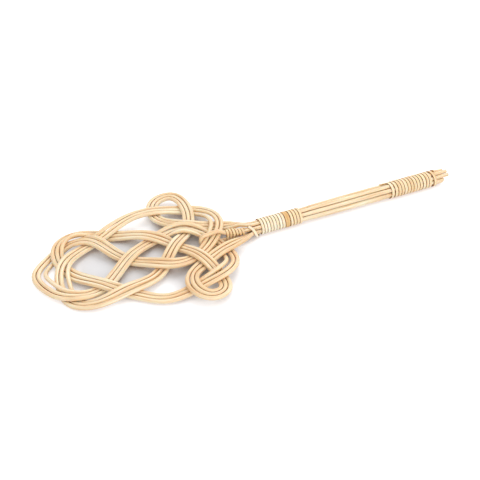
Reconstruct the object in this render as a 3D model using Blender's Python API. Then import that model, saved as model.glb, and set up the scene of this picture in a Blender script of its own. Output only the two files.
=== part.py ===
"""Plaited rattan carpet beater, lying flat on its underside.

A flat ribbon of three canes is plaited into an open knot, and both ends of the ribbon run into the
handle. A short cane bent double ties the crossing next to the neck, and its legs run into the handle
as well, where the eight cane ends lie in a ring round a rod. Split cane binds the tie, the neck and
the grip. +X points from the tip of the head to the end of the handle, +Z is up.
"""

import math

import bmesh
import bpy
import numpy as np
from mathutils import Vector

MM = 0.001
NAME = "carpet_beater"

# Overall sizes
TOTAL_LENGTH = 600 * MM
HEAD_LENGTH = 300 * MM  # from the tip into the neck
HEAD_HALF_WIDTH = 118 * MM
HANDLE_LEAN = math.radians(2.8)  # the handle stands this far off the head's long axis
LEAN_CROSSING = 405 * MM  # from the tip to where the handle's axis crosses the head's

# Canes
CANE_DIAMETER = 5.2 * MM
NECK_CANE_DIAMETER = 4.85 * MM  # the canes are pared thinner where the neck is bound
CANE_GAP = 0.35 * MM
NECK_GAP = 0.5 * MM
HANDLE_GAP = 0.65 * MM  # the canes stand a little looser in the handle
TIE_GAP = 0.7 * MM
RIBBON_CANES = (-1, 0, 1)  # place across the ribbon, counted to the right of its run
RING_CANES = 8  # canes in a ring round the core of the handle
TIE_RING_ANGLE = math.radians(145)  # place of the tie cane's upper leg in that ring
CORE_DIAMETER = 8.1 * MM
CORE_SPAN = (304 * MM, 586 * MM)
# How far short of the end the canes are sawn off, by leg and cane
END_CUTS = {
    (0, -1): 0.5 * MM, (0, 0): 3.5 * MM, (0, 1): 6 * MM,
    (1, 1): 7.5 * MM, (1, 0): 5.5 * MM, (1, -1): 2 * MM,
}

# Tie cane: bent double round the crossing next to the neck
TIE_CROSSING_SHARE = 0.753  # of the head length, from the tip
TIE_REACH = 13.5 * MM
TIE_FLAT = 13.5 * MM  # the legs stay this far beyond the crossing as high and as low as they can
TIE_ASIDE = 2.9 * MM  # and this far aside of the handle's axis
TIE_SQUEEZE = 6.0 * MM  # half the distance between the legs where their binding starts
TIE_BEND_SHARE = 0.72  # below 1 the bend is squarer than a half circle

# Bindings: strands of split cane, flat outside
STRAND_THICKNESS = 1.5 * MM
GRIP_THICKNESS = 1.8 * MM
BINDING_GAP = 0.3 * MM
POINTS_PER_TURN = 20
TIE_BINDING_SHARES = (0.817, 0.915)  # of the head length, from the tip
TIE_STRAND_WIDTH = 3.5 * MM
TIE_PITCH = 4.2 * MM
NECK_START_SHARE = 0.97  # of the head length, from the tip
FRONT_TURNS = 8
REAR_TURNS = 5
NECK_STRAND_WIDTH = 3.9 * MM
NECK_PITCH = 4.4 * MM
REAR_STRAND_WIDTH = 4.0 * MM
REAR_PITCH = 4.6 * MM
# The strand's way from the tie's legs over the near ribbon to its first turn round the neck: place past
# the start of the turns in their pitches, angle round the axis in degrees, distance from it in radii of
# the ring of canes
STRAP_SHARES = (
    (-2.95455, 108, 1.00141), (-2.59091, 125, 1.05864), (-2.13636, 145, 1.25892),
    (-1.72727, 168, 1.84546), (-1.04545, 198, 1.87408), (-0.40909, 226, 1.70240),
    (0.09091, 250, 1.57365), (0.50000, 270, 1.50212),
)
SPLICE_WIDTH = 7.6 * MM
SPLICE_TURN = 0.88  # of a full turn
GRIP_TURNS = 15
GRIP_STRAND_WIDTH = 4.7 * MM
GRIP_PITCH = 5.3 * MM
# Where the turns of the grip stand apart: after this many turns, by this much more
GRIP_SLACKS = ((1, 1.2 * MM), (10, 0.6 * MM), (13, 4.0 * MM))
TAIL_LENGTH = 9.5 * MM  # the strand starts along the handle, bends and then goes round
TAIL_BEND = 4.5 * MM
TAIL_ANGLE = math.radians(66)
GRIP_TO_END = 17.5 * MM
FLAT_CUT = 0.5 * MM  # depth of the flat under the grip binding

# Run of the ribbon's middle cane through the plait, in shares of the head length from the tip and of
# the half width to the far side. It starts and ends at the neck.
ROUTE_SHARES = (
    # out of the handle on the far side, and round the far ear
    (0.975, -0.013), (0.905, 0.078), (0.821, 0.148), (0.670, 0.302), (0.590, 0.495), (0.571, 0.724),
    (0.607, 0.881), (0.677, 0.885), (0.712, 0.721), (0.711, 0.424),
    # down across the head to the near side of the tip
    (0.657, 0.149), (0.559, -0.131), (0.474, -0.372), (0.337, -0.506), (0.220, -0.544),
    # round inside the tip, and back along the far side
    (0.139, -0.432), (0.112, -0.199), (0.131, 0.082), (0.207, 0.301), (0.342, 0.482),
    (0.471, 0.637), (0.617, 0.657),
    # the big loop next to the neck
    (0.734, 0.585), (0.804, 0.402), (0.813, 0.160), (0.759, -0.071),
    # along the middle to the tip
    (0.656, -0.253), (0.554, -0.295), (0.456, -0.148), (0.334, 0.175), (0.244, 0.436),
    # the tip loop
    (0.170, 0.472), (0.084, 0.310), (0.030, 0.103), (0.051, -0.142), (0.113, -0.340),
    (0.202, -0.384), (0.301, -0.248),
    # back along the middle, and over the arch to the neck
    (0.438, 0.067), (0.549, 0.230), (0.649, 0.222), (0.735, 0.062),
    # the second big loop, on the near side
    (0.794, -0.206), (0.798, -0.452), (0.736, -0.622), (0.615, -0.690),
    # along the near side, and round inside the tip
    (0.487, -0.716), (0.383, -0.561), (0.256, -0.301), (0.155, 0.000), (0.119, 0.256),
    (0.144, 0.485), (0.215, 0.581),
    # down across the head to the near ear
    (0.323, 0.514), (0.473, 0.300), (0.598, 0.041), (0.672, -0.289), (0.718, -0.636),
    (0.707, -0.829), (0.650, -0.883), (0.601, -0.758), (0.608, -0.563),
    # back into the handle on the near side
    (0.681, -0.383), (0.817, -0.236), (0.905, -0.165), (0.975, -0.080),
)

# What the ribbon does at each crossing that it meets along its run: over or under
WEAVE = "UOUOUUOUOUOUOOUOOUOUOUOUOUOUUOUUOUOUOUOOUOUO"

# Stretches of the ribbon that touch side by side without crossing: both places, counted in points of
# the route, and 1 where the first one is over
TOUCHES = ((2.5, 40.2, -1),)

# Where one cane of the ribbon strays from its neighbours: the place along the run and the reach of the
# stray, both counted in points of the route, the cane and how far it strays
STRAYS = (
    (12.5, 1.8, -1, 1.5 * MM),
    (16.0, 1.8, 1, 3.0 * MM),
    (23.6, 2.6, 1, 3.0 * MM),
    (33.4, 2.8, -1, 3.2 * MM),
    (43.4, 2.6, 1, 3.0 * MM),
    (60.4, 1.4, -1, 0.9 * MM),
)

# Fineness of the sums and of the solids
SAMPLE_STEP = 1.5 * MM
NODE_STEP = 12.5 * MM
NODE_TURN = math.radians(22)
STIFF_REACH = 26 * MM  # a bent cane comes back to the middle of the plait over about this length
# The flat ribbons turn on edge and draw into the round handle, in shares of the head length
TWIST_START_SHARES = (0.853, 0.815)  # of the far and of the near ribbon
TILTED_SHARE = 0.91
DRAW_SHARES = (0.89, 0.975)
# Heights of the middle of the far and of the near ribbon where the twist starts and where it ends
TWIST_HEIGHTS = ((10 * MM, 14 * MM), (12.5 * MM, 10.5 * MM))
TWIST_NODE_STEP = 5 * MM
TWIST_SPREAD = 1.09  # the canes stand a little further apart where the ribbons run aslant
ROUNDS = 8
SWEEPS = 120
BESIDE = 5  # stretches of one ribbon this few nodes apart lie side by side

STRAP_STEP = 2 * math.pi / POINTS_PER_TURN
STEP_ANGLE = 2 * math.pi / RING_CANES
LAYER = CANE_DIAMETER + CANE_GAP
TWIST_STARTS = [share * HEAD_LENGTH for share in TWIST_START_SHARES]
TWIST_START = min(TWIST_STARTS)
TWIST_END = DRAW_SHARES[1] * HEAD_LENGTH
TIE_CROSSING = TIE_CROSSING_SHARE * HEAD_LENGTH
TIE_BINDING_START = TIE_BINDING_SHARES[0] * HEAD_LENGTH
TIE_BINDING_END = TIE_BINDING_SHARES[1] * HEAD_LENGTH
TIE_TURNS = round((TIE_BINDING_END - TIE_BINDING_START) / TIE_PITCH)
NECK_RADIUS = (NECK_CANE_DIAMETER + NECK_GAP) / (2 * math.sin(STEP_ANGLE / 2))
HANDLE_RADIUS = (CANE_DIAMETER + HANDLE_GAP) / (2 * math.sin(STEP_ANGLE / 2))
GRIP_RADIUS = HANDLE_RADIUS + CANE_DIAMETER / 2 + BINDING_GAP + GRIP_THICKNESS
HANDLE_HEIGHT = GRIP_RADIUS - FLAT_CUT
TIP_HEIGHT = (LAYER + CANE_DIAMETER) / 2
NECK_START = NECK_START_SHARE * HEAD_LENGTH
STRAP_UNITS = (NECK_PITCH, math.radians(1), NECK_RADIUS)
SPLICE_PLACE = NECK_START + FRONT_TURNS * NECK_PITCH + SPLICE_WIDTH / 2
NECK_END = SPLICE_PLACE + SPLICE_WIDTH / 2 + REAR_TURNS * REAR_PITCH
GRIP_LENGTH = (GRIP_TURNS - 1) * GRIP_PITCH + sum(slack for _, slack in GRIP_SLACKS)
GRIP_START = TOTAL_LENGTH - GRIP_TO_END - GRIP_LENGTH - GRIP_STRAND_WIDTH / 2
HANDLE_START = NECK_END + 4 * CANE_DIAMETER  # from here the canes are at their full size again


def smooth_step(value, start, end):
    """0 before start and 1 after end, with a smooth change between."""
    share = np.clip((value - start) / (end - start), 0, 1)
    return share * share * (3 - 2 * share)


# Handle

def axis_y(x):
    """Sideways place of the handle's axis, which leans a little off the head's long axis."""
    return math.tan(HANDLE_LEAN) * (x - LEAN_CROSSING)


def plait_height(x):
    """Height of the middle of the plait: the head sags from the tied neck down to its tip."""
    rise = np.clip(x / TIE_CROSSING, 0, 1)
    return TIP_HEIGHT + (HANDLE_HEIGHT - TIP_HEIGHT) * rise


def handle_share(x):
    """0 where the neck is bound, 1 where the handle has its full thickness."""
    return float(smooth_step(x, NECK_END, HANDLE_START))


def ring_radius(x):
    return NECK_RADIUS + (HANDLE_RADIUS - NECK_RADIUS) * handle_share(x)


def cane_diameter(x):
    """Thickness of a cane on its way through the neck into the handle."""
    pared = float(smooth_step(x, TWIST_START, TWIST_END)) * (1 - handle_share(x))
    return CANE_DIAMETER + (NECK_CANE_DIAMETER - CANE_DIAMETER) * pared


def ring_angle(leg, cane):
    """Place of a cane in the handle's ring. Leg 0 comes in on the far side, leg 1 on the near side."""
    if leg == 0:
        return TIE_RING_ANGLE - STEP_ANGLE * (2 + cane)
    return TIE_RING_ANGLE + STEP_ANGLE * (2 - cane)


def ring_place(x, angle):
    radius = ring_radius(x)
    return x, axis_y(x) + radius * math.cos(angle), HANDLE_HEIGHT + radius * math.sin(angle)


# Run of the canes, seen from above

def natural_spline(points, step):
    """Samples at an even step along the natural cubic spline through the points, and their place
    counted in points."""
    knots = np.concatenate([[0], np.cumsum(np.linalg.norm(np.diff(points, axis=0), axis=1))])
    width = np.diff(knots)
    count = len(points)
    matrix = np.eye(count)
    right = np.zeros_like(points)
    for i in range(1, count - 1):
        matrix[i, i - 1 : i + 2] = width[i - 1], 2 * (width[i - 1] + width[i]), width[i]
        slopes = np.diff(points[i - 1 : i + 2], axis=0) / width[i - 1 : i + 1, None]
        right[i] = 6 * (slopes[1] - slopes[0])
    bend = np.linalg.solve(matrix, right)

    def at(u):
        i = np.clip(np.searchsorted(knots, u, side="right") - 1, 0, count - 2)
        a = ((knots[i + 1] - u) / width[i])[:, None]
        b = 1 - a
        curve = (a**3 - a) * bend[i] + (b**3 - b) * bend[i + 1]
        return a * points[i] + b * points[i + 1] + curve * (width[i] ** 2)[:, None] / 6

    fine = np.linspace(0, knots[-1], 40 * count)
    length = np.concatenate([[0], np.cumsum(np.linalg.norm(np.diff(at(fine), axis=0), axis=1))])
    places = np.linspace(0, length[-1], round(length[-1] / step) + 1)
    u = np.interp(places, length, fine)
    return at(u), np.interp(u, knots, np.arange(count))


def ribbon_nodes():
    """Nodes of the middle cane seen from above, closer together where it bends: their places, the way
    to the right, the place counted in points of the route, and the length along the run."""
    shares = np.array(ROUTE_SHARES)
    points, place = natural_spline(shares * (HEAD_LENGTH, HEAD_HALF_WIDTH), SAMPLE_STEP)
    run = np.gradient(points, axis=0)
    run /= np.linalg.norm(run, axis=1)[:, None]
    sine = run[:-1, 0] * run[1:, 1] - run[:-1, 1] * run[1:, 0]
    turn = np.abs(np.arcsin(np.clip(sine, -1, 1)))
    step = np.where(points[1:, 0] > TWIST_START, TWIST_NODE_STEP, NODE_STEP)
    used = np.concatenate([[0], np.cumsum(SAMPLE_STEP / step + turn / NODE_TURN)])
    even = np.linspace(0, used[-1], round(used[-1]) + 1)
    kept = np.round(np.interp(even, used, np.arange(len(points)))).astype(int)
    right = np.stack([run[:, 1], -run[:, 0]], axis=1)
    return points[kept], right[kept], place[kept], kept * SAMPLE_STEP


def stray(place, cane):
    """How far this cane stands off its usual place in the ribbon."""
    total = np.zeros(len(place))
    for middle, reach, strayed, amount in STRAYS:
        if strayed == cane:
            share = np.clip(np.abs(place - middle) / reach, 0, 1)
            total += amount * (1 + np.cos(math.pi * share)) / 2
    return total * cane


def twisted(leg, cane, x, y, aside):
    """Place of a cane where the flat ribbon tilts, its near side up, and draws into the ring. It is
    given the place of the ribbon's middle and how far aside of it the cane lies."""
    start = TWIST_STARTS[leg]
    tilted = float(smooth_step(x, start, TILTED_SHARE * HEAD_LENGTH))
    tilt = tilted * (math.pi - TIE_RING_ANGLE)
    drawn = float(smooth_step(x, DRAW_SHARES[0] * HEAD_LENGTH, TWIST_END))
    height = float(np.interp(x, (start, TWIST_END), TWIST_HEIGHTS[leg]))
    aside *= 1 + (TWIST_SPREAD - 1) * tilted
    flat = np.array([y + aside * math.cos(tilt), height - aside * math.sin(tilt)])
    return flat + drawn * (ring_place(x, ring_angle(leg, cane))[1:] - flat)


def plait_plan():
    """The crossings, the length along the run at each node, the three canes seen from above, and
    their heights where the twist into the handle sets them."""
    nodes, right, place, length = ribbon_nodes()
    plans, held = [], []
    for cane in RIBBON_CANES:
        plan = nodes + right * (cane * LAYER + stray(place, cane))[:, None]
        height = np.full(len(nodes), np.nan)
        for i, (x, y) in enumerate(nodes):
            leg = 0 if place[i] < len(ROUTE_SHARES) / 2 else 1
            if x > TWIST_STARTS[leg]:
                plan[i, 1], height[i] = twisted(leg, cane, plan[i, 0], y, plan[i, 1] - y)
        plans.append(plan)
        held.append(height)
    return woven_crossings(nodes, place, length), length, np.array(plans), np.array(held)


# Heights of the canes

def crossings_of(first, second):
    """Where two runs cross seen from above: node and share of the way to the next one, for both."""
    step, other = np.diff(first, axis=0), np.diff(second, axis=0)
    cross = step[:, None, 0] * other[None, :, 1] - step[:, None, 1] * other[None, :, 0]
    cross = np.where(cross == 0, 1, cross)
    gap = second[None, :-1] - first[:-1, None]
    t = (gap[..., 0] * other[None, :, 1] - gap[..., 1] * other[None, :, 0]) / cross
    u = (gap[..., 0] * step[:, None, 1] - gap[..., 1] * step[:, None, 0]) / cross
    i, j = np.nonzero((t >= 0) & (t < 1) & (u >= 0) & (u < 1))
    later = j > i + 2
    i, j = i[later], j[later]
    return i, t[i, j], j, u[i, j]


def woven_crossings(nodes, place, length):
    """Each crossing of the ribbon with itself: its two places along the run, and 1 where the ribbon
    is over at the first of them."""
    i, t, j, u = crossings_of(nodes, nodes)
    count = np.arange(len(length))
    first, second = np.interp(i + t, count, length), np.interp(j + u, count, length)
    passes = sorted((place, n) for places in (first, second) for n, place in enumerate(places))
    if len(passes) != len(WEAVE):
        raise ValueError(f"the run meets {len(passes)} crossings and the weave has {len(WEAVE)}")
    over = {}
    for (_, n), letter in zip(passes, WEAVE):
        over.setdefault(n, []).append(1 if letter == "O" else -1)
    for n, (one, two) in over.items():
        if one == two:
            raise ValueError(f"the ribbon is twice on one side at crossing {n}")
    touches = [(*np.interp(pair, place, length), side) for *pair, side in TOUCHES]
    return np.array([(first[n], second[n], over[n][0]) for n in range(len(first))] + touches)


def side_of(woven, first, second):
    """1 where the cane at the first place along the run passes over the one at the second place."""
    gap = np.abs(woven[:, :2] - (min(first, second), max(first, second))).sum(axis=1)
    return woven[int(gap.argmin()), 2] * (1 if first < second else -1)


def segment_gaps(start, step, other_start, other_step):
    """Nearest places of pairs of straight stretches, as shares of each, and the way between them."""
    away = start - other_start
    a, e, b = (step * step).sum(-1), (other_step * other_step).sum(-1), (step * other_step).sum(-1)
    c, f = (step * away).sum(-1), (other_step * away).sum(-1)
    s = np.clip((b * f - c * e) / np.maximum(a * e - b * b, a * e * 1e-9), 0, 1)
    t = np.clip((b * s + f) / e, 0, 1)
    s = np.clip((b * t - c) / a, 0, 1)
    return s, t, start + step * s[:, None] - other_start - other_step * t[:, None]


def spring_matrix(plan):
    """Stiffness of one cane against bending, and its pull to the middle of the plait."""
    count = len(plan)
    step = np.linalg.norm(np.diff(plan, axis=0), axis=1)
    bend = np.zeros((count - 2, count))
    for i in range(1, count - 1):
        before, after = step[i - 1], step[i]
        weight = math.sqrt((before + after) / 2) * 2 / (before + after)
        bend[i - 1, i - 1 : i + 2] = weight / before, -weight * (1 / before + 1 / after), weight / after
    own = np.zeros(count)
    own[:-1] += step / 2
    own[1:] += step / 2
    pull = own / STIFF_REACH**4
    return bend.T @ bend + np.diag(pull), pull * plait_height(plan[:, 0])


def rest_heights(plans, held):
    """Heights of all nodes before they are pushed apart, and how far a push on each moves the rest."""
    count = plans.shape[1]
    stiff = np.zeros((3 * count, 3 * count))
    load = np.zeros(3 * count)
    for n, plan in enumerate(plans):
        own = slice(n * count, (n + 1) * count)
        stiff[own, own], load[own] = spring_matrix(plan)
    held = held.reshape(-1)
    free = np.isnan(held)
    height = np.where(free, 0, held)
    moved = np.zeros_like(stiff)
    moved[np.ix_(free, free)] = np.linalg.inv(stiff[np.ix_(free, free)])
    height[free] = np.linalg.solve(stiff[np.ix_(free, free)], (load - stiff @ height)[free])
    return height, moved


def demand_row(count, first, share, second, other_share, side):
    """How the heights of four nodes set the height of one place above another."""
    row = np.zeros(count)
    row[first] += side * (1 - share)
    row[first + 1] += side * share
    row[second] -= side * (1 - other_share)
    row[second + 1] -= side * other_share
    return row


def push_apart(rest, moved, rows, bounds, push):
    """The least pushes that meet every demand, by going round the demands again and again."""
    rows = np.array(rows)
    reach = rows @ moved
    soft = reach @ rows.T
    lack = np.array(bounds) - rows @ rest
    push = np.concatenate([push, np.zeros(len(bounds) - len(push))])
    own = np.maximum(soft.diagonal(), soft.diagonal().max() * 1e-12)
    for _ in range(SWEEPS):
        for n in range(len(push)):
            push[n] = max(0.0, push[n] + (lack[n] - soft[n] @ push) / own[n])
    return rest + push @ reach, push


def near_stretches(flat, count, length, woven):
    """Pairs of stretches that are near each other seen from above, and which of them is over."""
    number = np.concatenate([np.arange(count - 1) + n * count for n in range(len(RIBBON_CANES))])
    middle = (flat[number] + flat[number + 1]) / 2
    half = np.linalg.norm(flat[number + 1] - flat[number], axis=1) / 2
    apart = np.linalg.norm(middle[:, None] - middle[None], axis=2) - half[:, None] - half[None]
    first, second = np.nonzero(apart < LAYER * 1.2)
    along = number % count
    kept = (first < second) & (np.abs(along[first] - along[second]) >= BESIDE)
    first, second = first[kept], second[kept]
    place = (length[along] + length[along + 1]) / 2
    side = np.array([side_of(woven, place[i], place[j]) for i, j in zip(first, second)])
    return number[first], number[second], side


def solve_heights(plans, held, woven, length):
    """Heights of the canes. Each is a bent spring that rests in the middle of the plait, and where two
    lie on each other the upper one is pushed up and the lower one down, until all are clear."""
    count = plans.shape[1]
    total = 3 * count
    rest, moved = rest_heights(plans, held)
    rows, bounds, floor = [], [], set()
    number = np.arange(count)
    for a in range(3):
        for b in range(3):
            for i, t, j, u in zip(*crossings_of(plans[a], plans[b])):
                if not (np.isnan(held[a, i]) or np.isnan(held[b, j])):
                    continue
                places = np.interp((i + t, j + u), number, length)
                rows.append(demand_row(total, a * count + i, t, b * count + j, u, side_of(woven, *places)))
                bounds.append(LAYER)
    print(f"{len(rows)} crossings of canes")
    flat = plans.reshape(-1, 2)
    first, second, side = near_stretches(flat, count, length, woven)
    push = np.zeros(0)
    for _ in range(ROUNDS):
        height, push = push_apart(rest, moved, rows, bounds, push)
        solid = np.column_stack([flat, height])
        s, t, way = segment_gaps(
            solid[first], solid[first + 1] - solid[first], solid[second], solid[second + 1] - solid[second]
        )
        gap = np.linalg.norm(way, axis=1)
        for n in np.nonzero(gap < LAYER * 0.998)[0]:
            upright = way[n, 2] * side[n] / gap[n]
            if upright < 0.3:
                continue
            level = (way[n, 0] ** 2 + way[n, 1] ** 2) / gap[n]
            rows.append(demand_row(total, first[n], s[n], second[n], t[n], side[n]))
            bounds.append((LAYER - level) / upright)
        for n in np.nonzero(height < CANE_DIAMETER / 2)[0]:
            if n not in floor:
                floor.add(n)
                rows.append(np.eye(1, total, n)[0])
                bounds.append(CANE_DIAMETER / 2)
    print(f"least distance of two canes at a crossing {(gap.min() - CANE_DIAMETER) / MM:.2f} mm")
    return solid.reshape(3, count, 3)


# Whole canes

def handle_leg(leg, cane):
    """The stretch of a cane in the handle, from the neck to its end."""
    angle = ring_angle(leg, cane)
    end = TOTAL_LENGTH - END_CUTS[leg, cane]
    third = (HANDLE_START - NECK_END) / 3
    stops = (HEAD_LENGTH, NECK_END, NECK_END + third, HANDLE_START - third, HANDLE_START, end)
    return [ring_place(x, angle) for x in stops]


def ribbon_path(cane, head):
    """The nodes of one knot cane, from its end in the handle through the plait and back."""
    return handle_leg(0, cane)[::-1] + [tuple(place) for place in head] + handle_leg(1, cane)


def tie_y(x):
    """Sideways place of the tie cane, up to its binding."""
    bound = smooth_step(x, TIE_CROSSING + TIE_FLAT, TIE_BINDING_START)
    return axis_y(x) + TIE_ASIDE * (1 - bound)


def tie_heights(heads):
    """Lowest height of the upper leg and greatest height of the lower leg that clear the crossing."""
    x = np.linspace(TIE_CROSSING - TIE_REACH + LAYER, TIE_CROSSING + TIE_FLAT, 12)
    line = np.column_stack([x, tie_y(x)])
    high, low = -math.inf, math.inf
    for head in heads:
        for place in line:
            start, step = head[:-1], np.diff(head, axis=0)
            share = ((place - start[:, :2]) * step[:, :2]).sum(axis=1) / (step[:, :2] ** 2).sum(axis=1)
            near = start + step * np.clip(share, 0, 1)[:, None]
            gap = np.linalg.norm(near[:, :2] - place, axis=1)
            for n in np.nonzero(gap < LAYER)[0]:
                rise = math.sqrt(LAYER**2 - gap[n] ** 2)
                high, low = max(high, near[n, 2] + rise), min(low, near[n, 2] - rise)
    return high, max(low, CANE_DIAMETER / 2)


def tie_pair(x, high, low):
    """The legs of the tie cane at x: height of their middle, half their distance and the angle at
    which the upper one stands. They turn from upright toward their places in the ring."""
    flat_end = TIE_CROSSING + TIE_FLAT
    start, end = TIE_BINDING_START, TIE_BINDING_END
    bound = float(smooth_step(x, flat_end, start))
    middle = (high + low) / 2 + (HANDLE_HEIGHT - (high + low) / 2) * bound
    half = (high - low) / 2 + (TIE_SQUEEZE - (high - low) / 2) * bound
    tight = (CANE_DIAMETER + CANE_GAP) / 2
    half += (tight - half) * float(np.clip((x - start) / (end - start), 0, 1))
    half += (ring_radius(x) - half) * float(smooth_step(x, end, TWIST_END))
    angle = math.pi / 2 + (TIE_RING_ANGLE - math.pi / 2) * float(smooth_step(x, start, end))
    return middle, half, angle


def tie_legs(x, high, low):
    """Places of the upper and the lower leg of the tie cane, from the bend to the handle."""
    middle, half, angle = tie_pair(x, high, low)
    y = float(tie_y(x))
    return [
        (x, y + side * half * math.cos(angle), middle + side * half * math.sin(angle))
        for side in (1, -1)
    ]


def tie_path(high, low):
    """The nodes of the cane bent double: over the crossing, down beside it and back under it."""
    reach = (high - low) / 2
    bend_x = TIE_CROSSING - TIE_REACH + reach
    bend = []
    for angle in np.linspace(math.pi / 2, 3 * math.pi / 2, 11)[1:-1]:
        back = abs(math.cos(angle)) ** TIE_BEND_SHARE
        x = bend_x - reach * back
        rise = math.copysign(abs(math.sin(angle)) ** TIE_BEND_SHARE, math.sin(angle))
        bend.append((x, float(tie_y(x)), (high + low) / 2 + reach * rise))
    start, end = TIE_BINDING_START, TIE_BINDING_END
    flat_end = TIE_CROSSING + TIE_FLAT
    stops = [bend_x, flat_end, *np.linspace(flat_end, start, 4)[1:], (start + end) / 2]
    stops += [*np.linspace(end, TWIST_END, 5), NECK_END]
    stops += [*np.linspace(NECK_END, HANDLE_START, 4)[1:], TOTAL_LENGTH]
    legs = [tie_legs(x, high, low) for x in stops]
    return [upper for upper, _ in legs][::-1] + bend + [lower for _, lower in legs]


# Runs of the bindings

def round_handle(x, angle, thickness):
    """Place of a strand that lies on the handle at this angle, and the way outward there."""
    out = np.array([0.0, math.cos(angle), math.sin(angle)])
    facet = 1 / math.cos(math.pi / POINTS_PER_TURN)
    radius = (ring_radius(x) + cane_diameter(x) / 2 + BINDING_GAP) * facet + thickness / 2
    return np.array([x, axis_y(x), HANDLE_HEIGHT]) + radius * out, out


def winding(start, pitch, turns, phase, thickness, slacks=()):
    """Places along a winding round the handle, each with the way outward. A slack is the number of
    turns after which the winding steps on, and by how much more."""
    places = []
    for turn in np.linspace(0, turns, round(turns * POINTS_PER_TURN) + 1):
        steps = [step * float(smooth_step(turn, after - 0.5, after + 0.5)) for after, step in slacks]
        x = start + pitch * turn + sum(steps)
        places.append(round_handle(x, phase + 2 * math.pi * turn, thickness))
    return places


def run_of(places):
    """The points of a strand and its ways outward, as two arrays."""
    return np.array([point for point, _ in places]), np.array([out for _, out in places])


def neck_front():
    """The first strand of the neck. It comes off the tie's legs and straps the near ribbon first."""
    strap = []
    for run, angle, radius in natural_spline(np.array(STRAP_SHARES) * STRAP_UNITS, STRAP_STEP)[0]:
        x = NECK_START + run
        out = np.array([0.0, math.cos(angle), math.sin(angle)])
        strap.append((np.array([x, axis_y(x), HANDLE_HEIGHT]) + radius * out, out))
    start = NECK_START + NECK_PITCH / 2
    turns = winding(start, NECK_PITCH, FRONT_TURNS, -math.pi / 2, STRAND_THICKNESS)
    return run_of(strap[:-1] + turns)


def splice_turn():
    """The tuck between the two strands of the neck: part of a turn, open underneath."""
    open_turn = 2 * math.pi * (1 - SPLICE_TURN)
    start = SPLICE_PLACE + NECK_PITCH * (1 - SPLICE_TURN) / 2
    phase = (open_turn - math.pi) / 2
    return run_of(winding(start, NECK_PITCH, SPLICE_TURN, phase, STRAND_THICKNESS))


def neck_rear():
    start = SPLICE_PLACE + (SPLICE_WIDTH + REAR_PITCH) / 2
    return run_of(winding(start, REAR_PITCH, REAR_TURNS - 0.75, -math.pi / 2, STRAND_THICKNESS))


def grip_turns():
    """The strand of the grip: a tail along the handle, a bend, and then round and round."""
    radius = GRIP_RADIUS - GRIP_THICKNESS / 2
    tail = []
    for along in np.linspace(-TAIL_LENGTH, 0, 5)[:-1]:
        tail.append(round_handle(GRIP_START - TAIL_BEND + along, TAIL_ANGLE, GRIP_THICKNESS))
    for bend in np.linspace(0, math.pi / 2, 8)[:-1]:
        x = GRIP_START - TAIL_BEND * (1 - math.sin(bend))
        angle = TAIL_ANGLE + TAIL_BEND * (1 - math.cos(bend)) / radius
        tail.append(round_handle(x, angle, GRIP_THICKNESS))
    phase = TAIL_ANGLE + TAIL_BEND / radius
    turns = winding(GRIP_START, GRIP_PITCH, GRIP_TURNS - 1, phase, GRIP_THICKNESS, GRIP_SLACKS)
    return run_of(tail + turns)


def tie_turns(high, low):
    """Turns round both legs of the tie cane, which stand one above the other."""
    facet = 1 / math.cos(math.pi / POINTS_PER_TURN)
    side = (CANE_DIAMETER / 2 + TIE_GAP) * facet + STRAND_THICKNESS / 2
    steep = 1 / math.sin(2 * math.pi / POINTS_PER_TURN)
    start = (TIE_BINDING_START + TIE_BINDING_END - TIE_PITCH * (TIE_TURNS - 1)) / 2
    points, outward = [], []
    for turn in np.linspace(0, TIE_TURNS - 1, (TIE_TURNS - 1) * POINTS_PER_TURN + 1):
        x = start + TIE_PITCH * turn
        middle, half, upright = tie_pair(x, high, low)
        angle = math.pi / 2 + 2 * math.pi * turn
        share = max(-1.0, min(1.0, steep * math.cos(angle - upright)))
        out = np.array([0.0, math.cos(angle), math.sin(angle)])
        along = np.array([0.0, math.cos(upright), math.sin(upright)])
        points.append(np.array([x, axis_y(x), middle]) + share * half * along + side * out)
        outward.append(out)
    return np.array(points), np.array(outward)


# Solids

def clear_scene():
    for obj in list(bpy.data.objects):
        bpy.data.objects.remove(obj, do_unlink=True)


def material(name, colour, roughness):
    made = bpy.data.materials.new(name)
    made.use_nodes = True
    shader = made.node_tree.nodes["Principled BSDF"]
    shader.inputs["Base Color"].default_value = (*colour, 1)
    shader.inputs["Roughness"].default_value = roughness
    shader.inputs["Metallic"].default_value = 0
    return made


def tube(name, points, collection, finish):
    """A round cane along the points, as a curve with a bevel and filled ends."""
    curve = bpy.data.curves.new(name, "CURVE")
    curve.dimensions = "3D"
    curve.twist_mode = "MINIMUM"
    curve.bevel_mode = "ROUND"
    curve.bevel_depth = CANE_DIAMETER / 2
    curve.bevel_resolution = 1
    curve.use_fill_caps = True
    spline = curve.splines.new("POLY")
    spline.points.add(len(points) - 1)
    for point, place in zip(spline.points, points):
        point.co = (*place, 1)
        point.radius = cane_diameter(place[0]) / CANE_DIAMETER
    obj = bpy.data.objects.new(name, curve)
    obj.data.materials.append(finish)
    collection.objects.link(obj)
    return obj


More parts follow.
